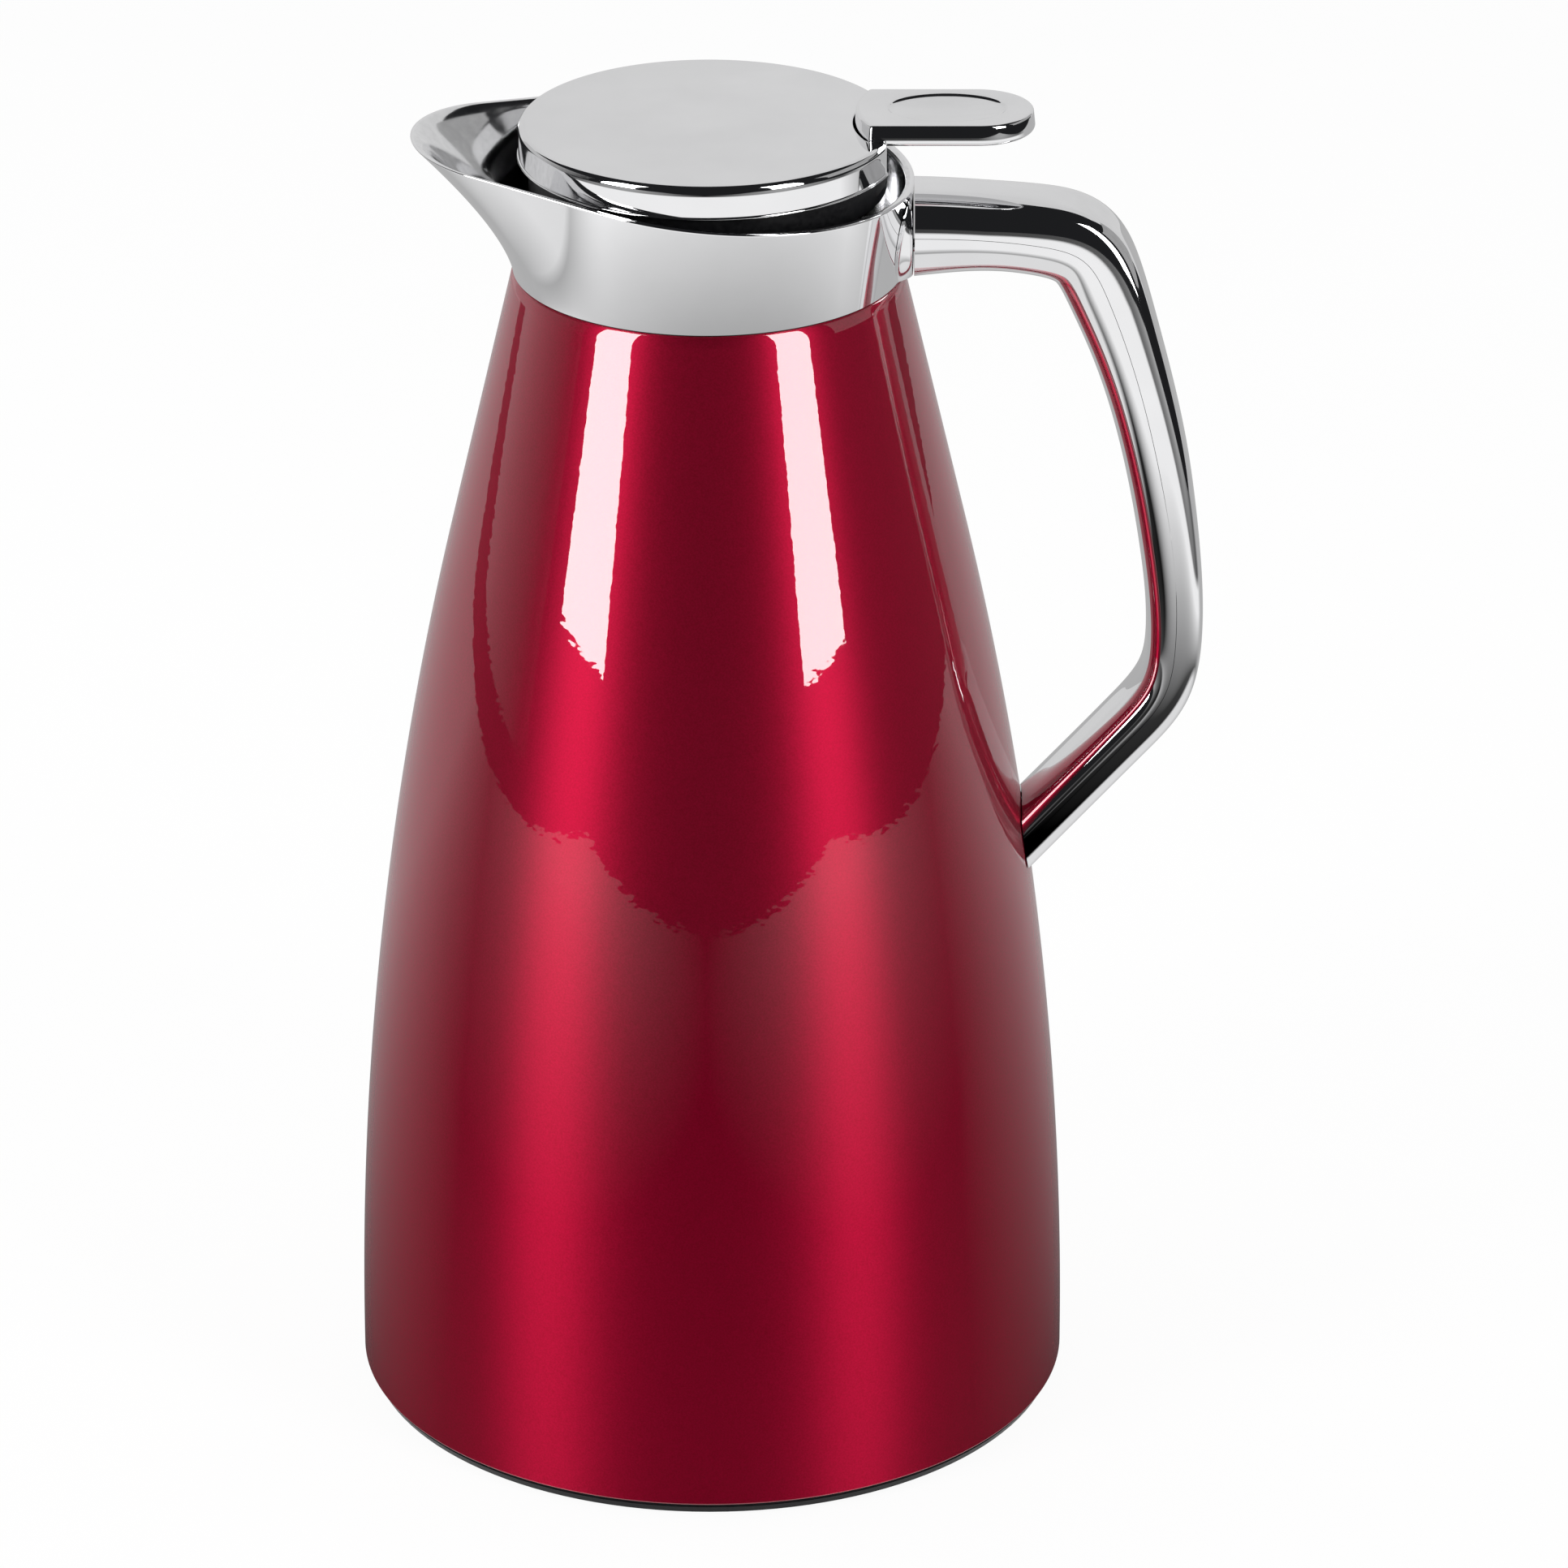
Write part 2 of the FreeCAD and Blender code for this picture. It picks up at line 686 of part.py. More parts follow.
arm = block(Vector(-fork_reach, -fork_half, fork_low), Vector(pin_x, fork_half, fork_high))
fork_slot = block(
    Vector(-fork_reach - 1, -stem_radius - 0.7, fork_low - 1), Vector(4.5, stem_radius + 0.7, fork_high + 1)
)
thumb_lever = plate.fuse(hub).fuse(rocker).fuse(arm).removeSplitter().cut(fork_slot)
thumb_lever = thumb_lever.cut(
    rod(pin_radius + sliding_fit, Vector(pin_x, -40, pin_z), Vector(pin_x, 40, pin_z))
)

# Valve: disc and soft seal on the stem, lifted by a clip above the fork
seat_top = plug_bottom + seat_thickness
seal_low = seat_top + seat_gap
disc_low = seal_low + seal_thickness
disc_high = disc_low + valve_thickness
clip_low = fork_high + 0.6
stem_top = clip_low + clip_thickness
valve_seal = ring(stem_radius + 4, valve_radius + 0.6, seal_low, disc_low)
valve_disc = ring(stem_radius + fixed_fit, valve_radius, disc_low, disc_high)
valve_disc = valve_disc.fuse(ring(stem_radius + fixed_fit, 5.5, disc_high, disc_high + 3)).removeSplitter()
valve_stem = Part.makeCylinder(stem_radius, stem_top - disc_low, Vector(0, 0, disc_low))
rivet = Part.makeCylinder(stem_radius + 2.5, seal_thickness, Vector(0, 0, disc_low - seal_thickness))
valve_stem = valve_stem.fuse(rivet).removeSplitter()
stem_clip = ring(stem_radius + fixed_fit, clip_radius, clip_low, stem_top)

# Spring between the valve disc and the stopper's floor: one tube on pairs of tangent arcs
wire_radius = spring_wire / 2
spring_low = disc_high + wire_radius + seat_gap
spring_high = floor_low - wire_radius - seat_gap
spring_pitch = (spring_high - spring_low) / spring_turns


def spring_point(turns):
    angle = 2 * math.pi * turns
    return Vector(
        spring_radius * math.cos(angle), spring_radius * math.sin(angle), spring_low + spring_pitch * turns
    )


def spring_heading(turns):
    angle = 2 * math.pi * turns
    flat = 2 * math.pi * spring_radius
    heading = Vector(-flat * math.sin(angle), flat * math.cos(angle), spring_pitch)
    return heading.normalize()


def tangent_arc(start, heading, end):
    """Arc that leaves the start along a heading and reaches the end."""
    chord = end - start
    straight = Vector(chord).normalize()
    aside = (heading - straight * heading.dot(straight)).normalize()
    half_turn = heading.getAngle(chord)
    middle = start + chord * 0.5 + aside * (chord.Length / 2 * math.tan(half_turn / 2))
    return Part.Arc(start, middle, end).toShape()


def arc_pair(start, first, end, last):
    """Two arcs with a common tangent between two headings."""
    chord = end - start
    total = first + last
    bend = 2 * (1 - first.dot(last))
    across = chord.dot(total)
    reach = (-across + math.sqrt(across**2 + bend * chord.dot(chord))) / bend
    middle = (start + end + (first - last) * reach) * 0.5
    return [tangent_arc(start, first, middle), tangent_arc(end, last * -1, middle)]


spring_edges = []
quarters = 4 * spring_turns
for quarter in range(quarters):
    here = quarter / 4
    there = (quarter + 1) / 4
    spring_edges += arc_pair(
        spring_point(here), spring_heading(here), spring_point(there), spring_heading(there)
    )
spring_line = Part.Wire(Part.__sortEdges__(spring_edges))
wire_end = Part.Wire(Part.makeCircle(wire_radius, spring_point(0), spring_heading(0)))
valve_spring = spring_line.makePipeShell([wire_end], True, False)
sample = [spring_point(step / 60) for step in range(60 * spring_turns + 1)]
spring_gap = min(
    a.distanceToPoint(b) - spring_wire for i, a in enumerate(sample) for b in sample[i + 30:]
)
print("least gap between spring turns, mm:", round(spring_gap, 2))

# One file for each piece
pieces = {
    "outer_shell": outer_shell,
    "shell_gasket": shell_gasket,
    "collar": collar,
    "neck_insert": neck_insert,
    "mouth_gasket": mouth_gasket,
    "glass_flask": glass_flask,
    "flask_seal_tip": flask_seal_tip,
    "flask_support": flask_support,
    "base_ring": base_ring,
    "base_cap": base_cap,
    "foot_ring": foot_ring,
    "handle_outer_shell": handle_outer_shell,
    "handle_inner_shell": handle_inner_shell,
    "handle_upper_screw": handle_upper_screw,
    "handle_lower_screw": handle_lower_screw,
    "stopper_gasket": stopper_gasket,
    "lid_cover": lid_cover,
    "stopper_body": stopper_body,
    "lever_pin": lever_pin,
    "cover_screw_left": cover_screw_left,
    "cover_screw_right": cover_screw_right,
    "thumb_lever": thumb_lever,
    "valve_stem": valve_stem,
    "valve_disc": valve_disc,
    "valve_seal": valve_seal,
    "stem_clip": stem_clip,
    "valve_spring": valve_spring,
}
os.makedirs("parts", exist_ok=True)
for name, shape in pieces.items():
    print(name, shape.ShapeType, len(shape.Solids), shape.isValid(), round(shape.Volume, 1))
    shape.exportStep("parts/" + name + ".step")
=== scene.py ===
import math

import bmesh
import bpy
import mathutils
import numpy
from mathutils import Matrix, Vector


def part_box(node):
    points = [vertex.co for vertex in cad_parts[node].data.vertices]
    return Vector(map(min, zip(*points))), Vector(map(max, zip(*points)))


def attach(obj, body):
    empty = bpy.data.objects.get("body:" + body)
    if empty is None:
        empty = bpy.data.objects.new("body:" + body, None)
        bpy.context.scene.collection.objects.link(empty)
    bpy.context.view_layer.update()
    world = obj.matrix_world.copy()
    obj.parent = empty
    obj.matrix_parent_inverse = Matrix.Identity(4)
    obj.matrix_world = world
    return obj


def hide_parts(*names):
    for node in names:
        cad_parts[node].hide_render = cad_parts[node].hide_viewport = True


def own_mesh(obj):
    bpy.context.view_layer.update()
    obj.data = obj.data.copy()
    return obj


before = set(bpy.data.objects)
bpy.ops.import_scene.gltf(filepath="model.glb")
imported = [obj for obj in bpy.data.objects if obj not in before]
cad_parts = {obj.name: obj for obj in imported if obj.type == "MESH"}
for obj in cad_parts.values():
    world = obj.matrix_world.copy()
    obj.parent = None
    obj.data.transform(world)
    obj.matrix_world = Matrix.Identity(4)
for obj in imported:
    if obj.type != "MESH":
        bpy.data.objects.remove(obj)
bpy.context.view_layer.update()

# Outer shell: a steel cone spun over a form, bulging to a straight foot.
# It is sprayed with ruby metallic lacquer and baked under a thick clear coat.
# Its mouth is turned in under the collar and its foot is rolled over the base ring.
black_edge = 0.0010
base_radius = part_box("outer_shell")[1].y
shell_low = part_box("outer_shell")[0].z + black_edge
shell_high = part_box("outer_shell")[1].z
neck_radius = 0.0420
mouth_radius = 0.0386
straight_foot = 0.0040
cone_angle = math.radians(13.2)
shell_wall = 0.0009
mouth_round = 0.0003
foot_roll = 0.0002
close_row = 0.0001
wall_rows = 110
inside_rows = 30
roll_steps = 5
shell_segments = 288
cone_rise = (shell_high - straight_foot) * math.tan(cone_angle)
bulge_radius = (cone_rise - (base_radius - neck_radius)) / (
    math.sin(cone_angle) * math.tan(cone_angle) - 1 + math.cos(cone_angle)
)


def shell_radius(height, inset=0.0):
    """Radius of the jug's side at a height: upright foot, large arc, then a straight cone."""
    reach = bulge_radius - inset
    centre = base_radius - bulge_radius
    cone_height = straight_foot + reach * math.sin(cone_angle)
    if height < straight_foot:
        return base_radius - inset
    if height > cone_height:
        return centre + reach * math.cos(cone_angle) - (height - cone_height) * math.tan(cone_angle)
    return centre + math.sqrt(reach**2 - (height - straight_foot) ** 2)


def skin(body, loops):
    """Faces between closed loops of points that follow each other."""
    for here, there in zip(loops, loops[1:]):
        for k in range(len(here)):
            after = (k + 1) % len(here)
            body.faces.new((here[k], here[after], there[after], there[k]))


def finished_mesh(name, body):
    """Mesh object with outward normals, smooth faces and crisp corners."""
    bmesh.ops.recalc_face_normals(body, faces=body.faces)
    mesh = bpy.data.meshes.new(name)
    body.to_mesh(mesh)
    body.free()
    mesh.polygons.foreach_set("use_smooth", [True] * len(mesh.polygons))
    mesh.set_sharp_from_angle(angle=math.radians(40))
    piece = bpy.data.objects.new(name, mesh)
    bpy.context.scene.collection.objects.link(piece)
    return piece


def spun_mesh(name, profile, segments):
    """Closed ring of (radius, height) points turned about the jug's axis."""
    body = bmesh.new()
    rows = []
    for step in range(segments):
        turn = 2 * math.pi * step / segments
        rows.append([body.verts.new((r * math.cos(turn), r * math.sin(turn), z)) for r, z in profile])
    skin(body, rows + rows[:1])
    return finished_mesh(name, body)


def new_finish(name):
    """Empty node material: the material, its node tree and its main shader."""
    material = bpy.data.materials.new(name)
    material.use_nodes = True
    return material, material.node_tree, material.node_tree.nodes["Principled BSDF"]


def grain(tree, scale, detail=2.0):
    """Fine noise in object coordinates."""
    place = tree.nodes.new("ShaderNodeTexCoord")
    noise = tree.nodes.new("ShaderNodeTexNoise")
    noise.inputs["Scale"].default_value = scale
    noise.inputs["Detail"].default_value = detail
    tree.links.new(place.outputs["Object"], noise.inputs["Vector"])
    return noise.outputs["Fac"]


grain_span = (0.3, 0.7)


def slope(tree, source, span, values):
    """Value that changes evenly with a source, from the first of two values to the second."""
    ramp = tree.nodes.new("ShaderNodeMapRange")
    ramp.inputs["From Min"].default_value = span[0]
    ramp.inputs["From Max"].default_value = span[1]
    ramp.inputs["To Min"].default_value = values[0]
    ramp.inputs["To Max"].default_value = values[1]
    tree.links.new(source, ramp.inputs["Value"])
    return ramp.outputs["Result"]


def tints(tree, source, colours):
    """Colour that wanders between two tints of one finish."""
    ramp = tree.nodes.new("ShaderNodeValToRGB")
    for element, place, colour in zip(ramp.color_ramp.elements, grain_span, colours):
        element.position = place
        element.color = (*colour, 1)
    tree.links.new(source, ramp.inputs["Fac"])
    return ramp.outputs["Color"]


def relief(tree, source, strength, depth):
    """Bump of a given depth in metres."""
    bump = tree.nodes.new("ShaderNodeBump")
    bump.inputs["Strength"].default_value = strength
    bump.inputs["Distance"].default_value = depth
    tree.links.new(source, bump.inputs["Height"])
    return bump.outputs["Normal"]


def mottled_finish(name, fineness, detail, colours, roughness):
    """Finish whose colour and roughness wander with one grain: material, tree, shader and grain."""
    material, tree, shader = new_finish(name)
    mottle = grain(tree, fineness, detail)
    tree.links.new(tints(tree, mottle, colours), shader.inputs["Base Color"])
    tree.links.new(slope(tree, mottle, grain_span, roughness), shader.inputs["Roughness"])
    return material, tree, shader, mottle


ruby_tints = ((0.41, 0.0011, 0.028), (0.53, 0.0021, 0.043))
ruby_lacquer, tree, shader, _ = mottled_finish("ruby_lacquer", 2600, 1.0, ruby_tints, (0.48, 0.54))
shader.inputs["Metallic"].default_value = 0.85
around = tree.nodes.new("ShaderNodeTangent")
around.direction_type = "RADIAL"
around.axis = "Z"
tree.links.new(around.outputs["Tangent"], shader.inputs["Tangent"])
shader.inputs["Anisotropic"].default_value = 0.86
shader.inputs["Anisotropic Rotation"].default_value = 0.25
shader.inputs["Coat Weight"].default_value = 1.0
shader.inputs["Coat Roughness"].default_value = 0.015
shader.inputs["Coat IOR"].default_value = 2.0
coat_peel = relief(tree, grain(tree, 420, 1.0), 0.5, 0.000022)
tree.links.new(coat_peel, shader.inputs["Coat Normal"])

wall_low = shell_low + foot_roll
heights = [wall_low, wall_low + close_row]
heights += list(numpy.linspace(wall_low + 2 * close_row, shell_high - mouth_round, wall_rows + 1))
outside = [(shell_radius(height), height) for height in heights]
top_edge = [
    (neck_radius - mouth_round, shell_high),
    (mouth_radius, shell_high),
    (mouth_radius, shell_high - shell_wall),
]
inside = []
for height in numpy.linspace(shell_high - shell_wall, shell_low, inside_rows + 1):
    inside.append((shell_radius(height, shell_wall), height))
roll = []
for turn in numpy.linspace(-math.pi / 2, 0, roll_steps + 1)[:-1]:
    roll.append((base_radius - foot_roll + foot_roll * math.cos(turn), wall_low + foot_roll * math.sin(turn)))
outer_shell = spun_mesh("lacquered_shell", outside + top_edge + inside + roll, shell_segments)
outer_shell.data.materials.append(ruby_lacquer)
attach(outer_shell, "jug")
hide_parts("outer_shell")

# Base: a ring moulded in black plastic that carries the shell, with a cap that screws into it.
# A soft foot ring is pressed into a groove under the ring.
# Only a thin dark edge of them shows under the lacquer.
plastic_tints = ((0.006, 0.006, 0.007), (0.013, 0.013, 0.014))
black_plastic, tree, shader, mould = mottled_finish("black_plastic", 900, 2.0, plastic_tints, (0.30, 0.42))
shader.inputs["Specular IOR Level"].default_value = 0.15
tree.links.new(relief(tree, mould, 0.2, 0.00005), shader.inputs["Normal"])

rubber_tints = ((0.008, 0.008, 0.008), (0.020, 0.020, 0.020))
black_rubber, tree, shader, bloom = mottled_finish("black_rubber", 1400, 2.0, rubber_tints, (0.65, 0.85))
tree.links.new(relief(tree, bloom, 0.4, 0.00008), shader.inputs["Normal"])


def refinish(names, material):
    """Gives CAD pieces whose form is right their real finish."""
    for name in names:
        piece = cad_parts[name]
        piece.data.materials.clear()
        piece.data.materials.append(material)
        piece.data.polygons.foreach_set("material_index", [0] * len(piece.data.polygons))


refinish(["base_ring", "base_cap"], black_plastic)
refinish(["foot_ring"], black_rubber)

# Flask: two walls of blown glass, silvered on the faces between them and sealed below.
# It stands on a rubber cushion in the base and is held down at its mouth.
# It only shows when the lid is out.
silver_tints = ((0.78, 0.80, 0.82), (0.88, 0.89, 0.90))
silvered_glass, tree, shader, waves = mottled_finish("silvered_glass", 60, 2.0, silver_tints, (0.03, 0.07))
shader.inputs["Metallic"].default_value = 1.0
shader.inputs["Coat Weight"].default_value = 1.0
tree.links.new(relief(tree, waves, 0.15, 0.0003), shader.inputs["Normal"])
refinish(["glass_flask", "flask_seal_tip"], silvered_glass)
refinish(["flask_support"], black_rubber)

# Neck insert and seals: black plastic and rubber rings between the flask, the shell and the collar.
# The seal on the shell is clamped by the collar and shows as a thin dark line under it.
refinish(["neck_insert"], black_plastic)
refinish(["mouth_gasket", "shell_gasket", "stopper_gasket"], black_rubber)

# Handle: two chromed half shells that meet on a fine seam along the widest line.
# The section is deep at the collar and slimmer in the grip, flat outside and rounder inside.
# Steel screws hold it at the collar and, from inside the shell, at its foot.
boss_face = 0.0439
joint_gap = 0.00025
seam_points = [
    (boss_face + joint_gap, 0.2732),
    (0.0705, 0.2715),
    (0.0801, 0.2682),
    (0.0854, 0.2597),
    (0.0974, 0.2190),
    (0.1016, 0.1790),
    (0.0993, 0.1665),
    (0.0918, 0.1561),
    (0.0640, 0.1250),
]
handle_half_width = 0.0104
root_outer_depth = 0.0086
root_inner_depth = 0.0108
outer_depths = [
    (0, root_outer_depth),
    (0.020, 0.0082),
    (0.040, 0.0085),
    (0.060, 0.0072),
    (0.090, 0.0066),
    (0.110, 0.0060),
    (0.130, 0.0060),
    (0.150, 0.0058),
    (0.200, 0.0057),
]
inner_depths = [
    (0, root_inner_depth),
    (0.020, 0.0088),
    (0.040, 0.0092),
    (0.060, 0.0083),
    (0.090, 0.0073),
    (0.110, 0.0070),
    (0.130, 0.0060),
    (0.145, 0.0055),
    (0.200, 0.0056),
]
squaring_run = (0.015, 0.050)
outer_squareness = (3.4, 5.2)
inner_squareness = 3.0
seam_gap = 0.0001
handle_stations = 220
depth_stations = 400
section_steps = 96
section_samples = 801
curve_samples = 4001

chrome_tints = ((0.86, 0.86, 0.87), (0.91, 0.91, 0.92))
chrome, tree, shader, wipes = mottled_finish("chrome", 45, 3.0, chrome_tints, (0.02, 0.05))
shader.inputs["Metallic"].default_value = 1.0
tree.links.new(relief(tree, wipes, 0.05, 0.0001), shader.inputs["Normal"])

steel_tints = ((0.50, 0.50, 0.51), (0.64, 0.64, 0.65))
plain_steel, _, shader, _ = mottled_finish("plain_steel", 800, 2.0, steel_tints, (0.2, 0.35))
shader.inputs["Metallic"].default_value = 1.0


def smooth_curve(points, first, last, count):
    """Smooth curve through points with set end directions: even stations, places and directions."""
    places = numpy.array(points)
    chords = numpy.linalg.norm(numpy.diff(places, axis=0), axis=1)
    knots = numpy.concatenate([[0], numpy.cumsum(chords)])
    total = len(places)
    system = numpy.eye(total)
    wanted = numpy.zeros((total, 2))
    wanted[0] = first
    wanted[-1] = last
    for k in range(1, total - 1):
        before = chords[k - 1]
        after = chords[k]
        system[k, k - 1 : k + 2] = (after, 2 * (before + after), before)
        rise = (places[k] - places[k - 1]) / before * after + (places[k + 1] - places[k]) / after * before
        wanted[k] = 3 * rise
    slopes = numpy.linalg.solve(system, wanted)
    fine = numpy.linspace(0, knots[-1], curve_samples)
    span = numpy.clip(numpy.searchsorted(knots, fine, side="right") - 1, 0, total - 2)
    width = chords[span][:, None]
    part = ((fine - knots[span])[:, None]) / width
    track = (
        (2 * part**3 - 3 * part**2 + 1) * places[span]
        + (part**3 - 2 * part**2 + part) * width * slopes[span]
        + (3 * part**2 - 2 * part**3) * places[span + 1]
        + (part**3 - part**2) * width * slopes[span + 1]
    )
    run = numpy.concatenate([[0], numpy.cumsum(numpy.linalg.norm(numpy.diff(track, axis=0), axis=1))])
    stations = numpy.linspace(0, run[-1], count)
    spots = numpy.stack([numpy.interp(stations, run, track[:, k]) for k in (0, 1)], 1)
    ahead = numpy.gradient(spots, axis=0)
    ahead[0] = first
    return stations, spots, ahead / numpy.linalg.norm(ahead, axis=1)[:, None]


foot_run = numpy.array(seam_points[-1]) - numpy.array(seam_points[-2])
foot_heading = foot_run / numpy.linalg.norm(foot_run)
stations, spots, headings = smooth_curve(seam_points, (1.0, 0.0), foot_heading, handle_stations)
outer_depth_curve = smooth_curve(outer_depths, (1.0, -0.02), (1.0, 0.0), depth_stations)[1]
inner_depth_curve = smooth_curve(inner_depths, (1.0, -0.12), (1.0, 0.0), depth_stations)[1]


def handle_outline(station, side):
    """Half of the handle's section as (across, outward) points; side is 1 outside the seam, -1 inside."""
    if side > 0:
        depth_curve = outer_depth_curve
        squareness = numpy.interp(station, squaring_run, outer_squareness)
    else:
        depth_curve = inner_depth_curve
        squareness = inner_squareness
    power = 2 / squareness
    depth = numpy.interp(station, depth_curve[:, 0], depth_curve[:, 1]) - seam_gap / 2
    turn = numpy.linspace(0, math.pi, section_samples)
    across = numpy.sign(numpy.cos(turn)) * numpy.abs(numpy.cos(turn)) ** power * handle_half_width
    away = side * (seam_gap / 2 + numpy.abs(numpy.sin(turn)) ** power * depth)
    run = numpy.concatenate([[0], numpy.cumsum(numpy.hypot(numpy.diff(across), numpy.diff(away)))])
    even = numpy.linspace(0, run[-1], section_steps + 1)
    return zip(numpy.interp(even, run, across), numpy.interp(even, run, away))


def clear_of_shell(spot):
    """Whether a point of the handle lies outside the shell's side."""
    return math.hypot(spot[0], spot[1]) > shell_radius(spot[2]) + joint_gap


def handle_half(name, side):
    """One half shell, swept along the seam, with each of its lines ended on the shell's side."""
    rings = []
    for station, spot, heading in zip(stations, spots, headings):
        ring = []
        for across, away in handle_outline(station, side):
            ring.append((spot[0] - heading[1] * away, across, spot[1] + heading[0] * away))
        rings.append(ring)
    for k in range(len(rings[0])):
        index = len(rings) // 2
        while clear_of_shell(rings[index][k]):
            index += 1
        outer = numpy.array(rings[index - 1][k])
        inner = numpy.array(rings[index][k])
        for halving in range(20):
            middle = (outer + inner) / 2
            if clear_of_shell(middle):
                outer = middle
            else:
                inner = middle
        for ring in rings[index:]:
            ring[k] = tuple(outer)
    body = bmesh.new()
    loops = [[body.verts.new(point) for point in ring] for ring in rings]
    skin(body, loops)
    body.faces.new(loops[0])
    body.faces.new(loops[-1][::-1])
    bmesh.ops.remove_doubles(body, verts=body.verts, dist=1e-6)
    return finished_mesh(name, body)


handle_halves = [
    ("handle_outer_half", 1, "handle_outer_shell"),
    ("handle_inner_half", -1, "handle_inner_shell"),
]
for name, side, node in handle_halves:
    half = handle_half(name, side)
    half.data.materials.append(chrome)
    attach(half, "jug")
    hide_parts(node)

refinish(["handle_upper_screw"], plain_steel)
screw_height = 0.1360
screw_head_radius = 0.0032
screw_head_flat = 0.0026
screw_head = 0.0016
screw_head_side = 0.0011
screw_drive_floor = 0.0009
screw_drive_radius = 0.0009
screw_radius = 0.0015
screw_straight = 0.0062
screw_length = 0.0070
screw_tip = 0.0009
screw_core = 0.0003
screw_segments = 48
screw_seat = shell_radius(screw_height + screw_head_radius, shell_wall) - joint_gap
screw_profile = [
    (screw_core, screw_seat - screw_drive_floor),
    (screw_drive_radius, screw_seat - screw_head),
    (screw_head_flat, screw_seat - screw_head),
    (screw_head_radius, screw_seat - screw_head_side),
    (screw_head_radius, screw_seat),
    (screw_radius, screw_seat),
    (screw_radius, screw_seat + screw_straight),
    (screw_tip, screw_seat + screw_length),
    (screw_core, screw_seat + screw_length),
]
foot_screw = spun_mesh("handle_foot_screw", screw_profile, screw_segments)
foot_screw.data.transform(
    mathutils.Matrix.Translation((0, 0, screw_height)) @ mathutils.Matrix.Rotation(math.pi / 2, 4, "Y")
)
foot_screw.data.materials.append(plain_steel)
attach(foot_screw, "jug")
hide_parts("handle_lower_screw")

# Collar: a cast and chromed ring on top of the shell that opens into the pouring lip.
# Its rim is cut on a slope, highest at the lip, with a flat land between softened edges.
# A boss on the handle side swells out of the wall; the inside is plated but not buffed.
collar_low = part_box("collar")[0].z
rim_height = 0.2875
rim_slope = 0.092
rim_radius = 0.0442
lip_round = 0.0265
lip_reach = 0.0636
lip_flare = 1.6
collar_wall = 0.0021
collar_floor = 0.0030
floor_top = collar_low + collar_floor
neck_hole = 0.03282
rim_edge = 0.0005
rim_round = 0.0014
inside_rise = 0.93
floor_rise = 0.1
boss_middle = 0.2721
boss_half_depth = (root_outer_depth + root_inner_depth) / 2
boss_fillet = 0.0030
boss_edge = 0.0005
boss_squareness = 2.8
collar_segments = 384
boss_crowding = 0.72
collar_steps = 120
edge_first = 118
edge_steps = 8
inner_edge_steps = 12
inside_steps = 40
inside_first = edge_first + edge_steps + 2
lip_centre = lip_reach - lip_round
lip_tangent = math.acos((rim_radius - lip_round) / lip_centre)
lip_edge = math.atan2(lip_round * math.sin(lip_tangent), lip_centre + lip_round * math.cos(lip_tangent))


def rim_reach(turn):
    """Rim radius at an angle from the spout."""
    if turn < lip_edge:
        across = lip_centre * math.sin(turn)
        return lip_centre * math.cos(turn) + math.sqrt(lip_round**2 - across**2)
    if turn < lip_tangent:
        return rim_radius / math.cos(turn - lip_tangent)
    return rim_radius


def collar_point(angle, rise, inset):
    """Point of the collar's wall: rise is 0 at the shell and 1 at the rim."""
    reach = neck_radius + rise * (rim_radius - neck_radius) - inset
    reach += rise**lip_flare * (rim_reach(abs(math.pi - angle)) - rim_radius)
    x = reach * math.cos(angle)
    height = collar_low + rise * (rim_height - collar_low - rim_slope * x)
    return x, reach * math.sin(angle), height


def soft_edge(first, corner, last, count):
    """Points of a soft edge that leaves one face and runs into the next."""
    points = []
    for step in range(count + 1):
        part = step / count
        shares = ((1 - part) ** 2, 2 * part * (1 - part), part**2)
        ends = zip(first, corner, last)
        points.append(tuple(shares[0] * a + shares[1] * b + shares[2] * c for a, b, c in ends))
    return points


def with_boss(point):
    """Moves a point of the outer wall out to the boss or its fillet."""
    x, y, z = point
    if x < 0:
        return point
    across = abs(y) / handle_half_width
    deep = abs(z - boss_middle) / boss_half_depth
    stretch = (across**boss_squareness + deep**boss_squareness) ** (1 / boss_squareness)
    beyond = (stretch - 1) * handle_half_width + boss_edge
    part = min(max(beyond / (boss_edge + boss_fillet), 0), 1)
    return x + max(boss_face - x, 0) * (1 - part) ** 2 * (1 + 2 * part), y, z


collar = bmesh.new()
collar_rows = []
for step in range(collar_segments):
    turn = 2 * math.pi * step / collar_segments
    angle = turn - boss_crowding * math.sin(turn)
    row = [with_boss(collar_point(angle, k / collar_steps, 0)) for k in range(edge_first)]
    row += soft_edge(
        collar_point(angle, edge_first / collar_steps, 0),
        collar_point(angle, 1, 0),
        collar_point(angle, 1, rim_edge),
        edge_steps,
    )
    row += soft_edge(
        collar_point(angle, 1, collar_wall - rim_round),
        collar_point(angle, 1, collar_wall),
        collar_point(angle, inside_rise, collar_wall),
        inner_edge_steps,
    )
    for k in range(inside_steps - 1, -1, -1):
        rise = floor_rise + (inside_rise - floor_rise) * k / inside_steps
        x, y, z = collar_point(angle, rise, collar_wall)
        row.append((x, y, max(z, floor_top)))
    for height in (floor_top, collar_low):
        row.append((neck_hole * math.cos(angle), neck_hole * math.sin(angle), height))
    collar_rows.append([collar.verts.new(point) for point in row])
skin(collar, collar_rows + collar_rows[:1])
collar_piece = finished_mesh("pouring_collar", collar)

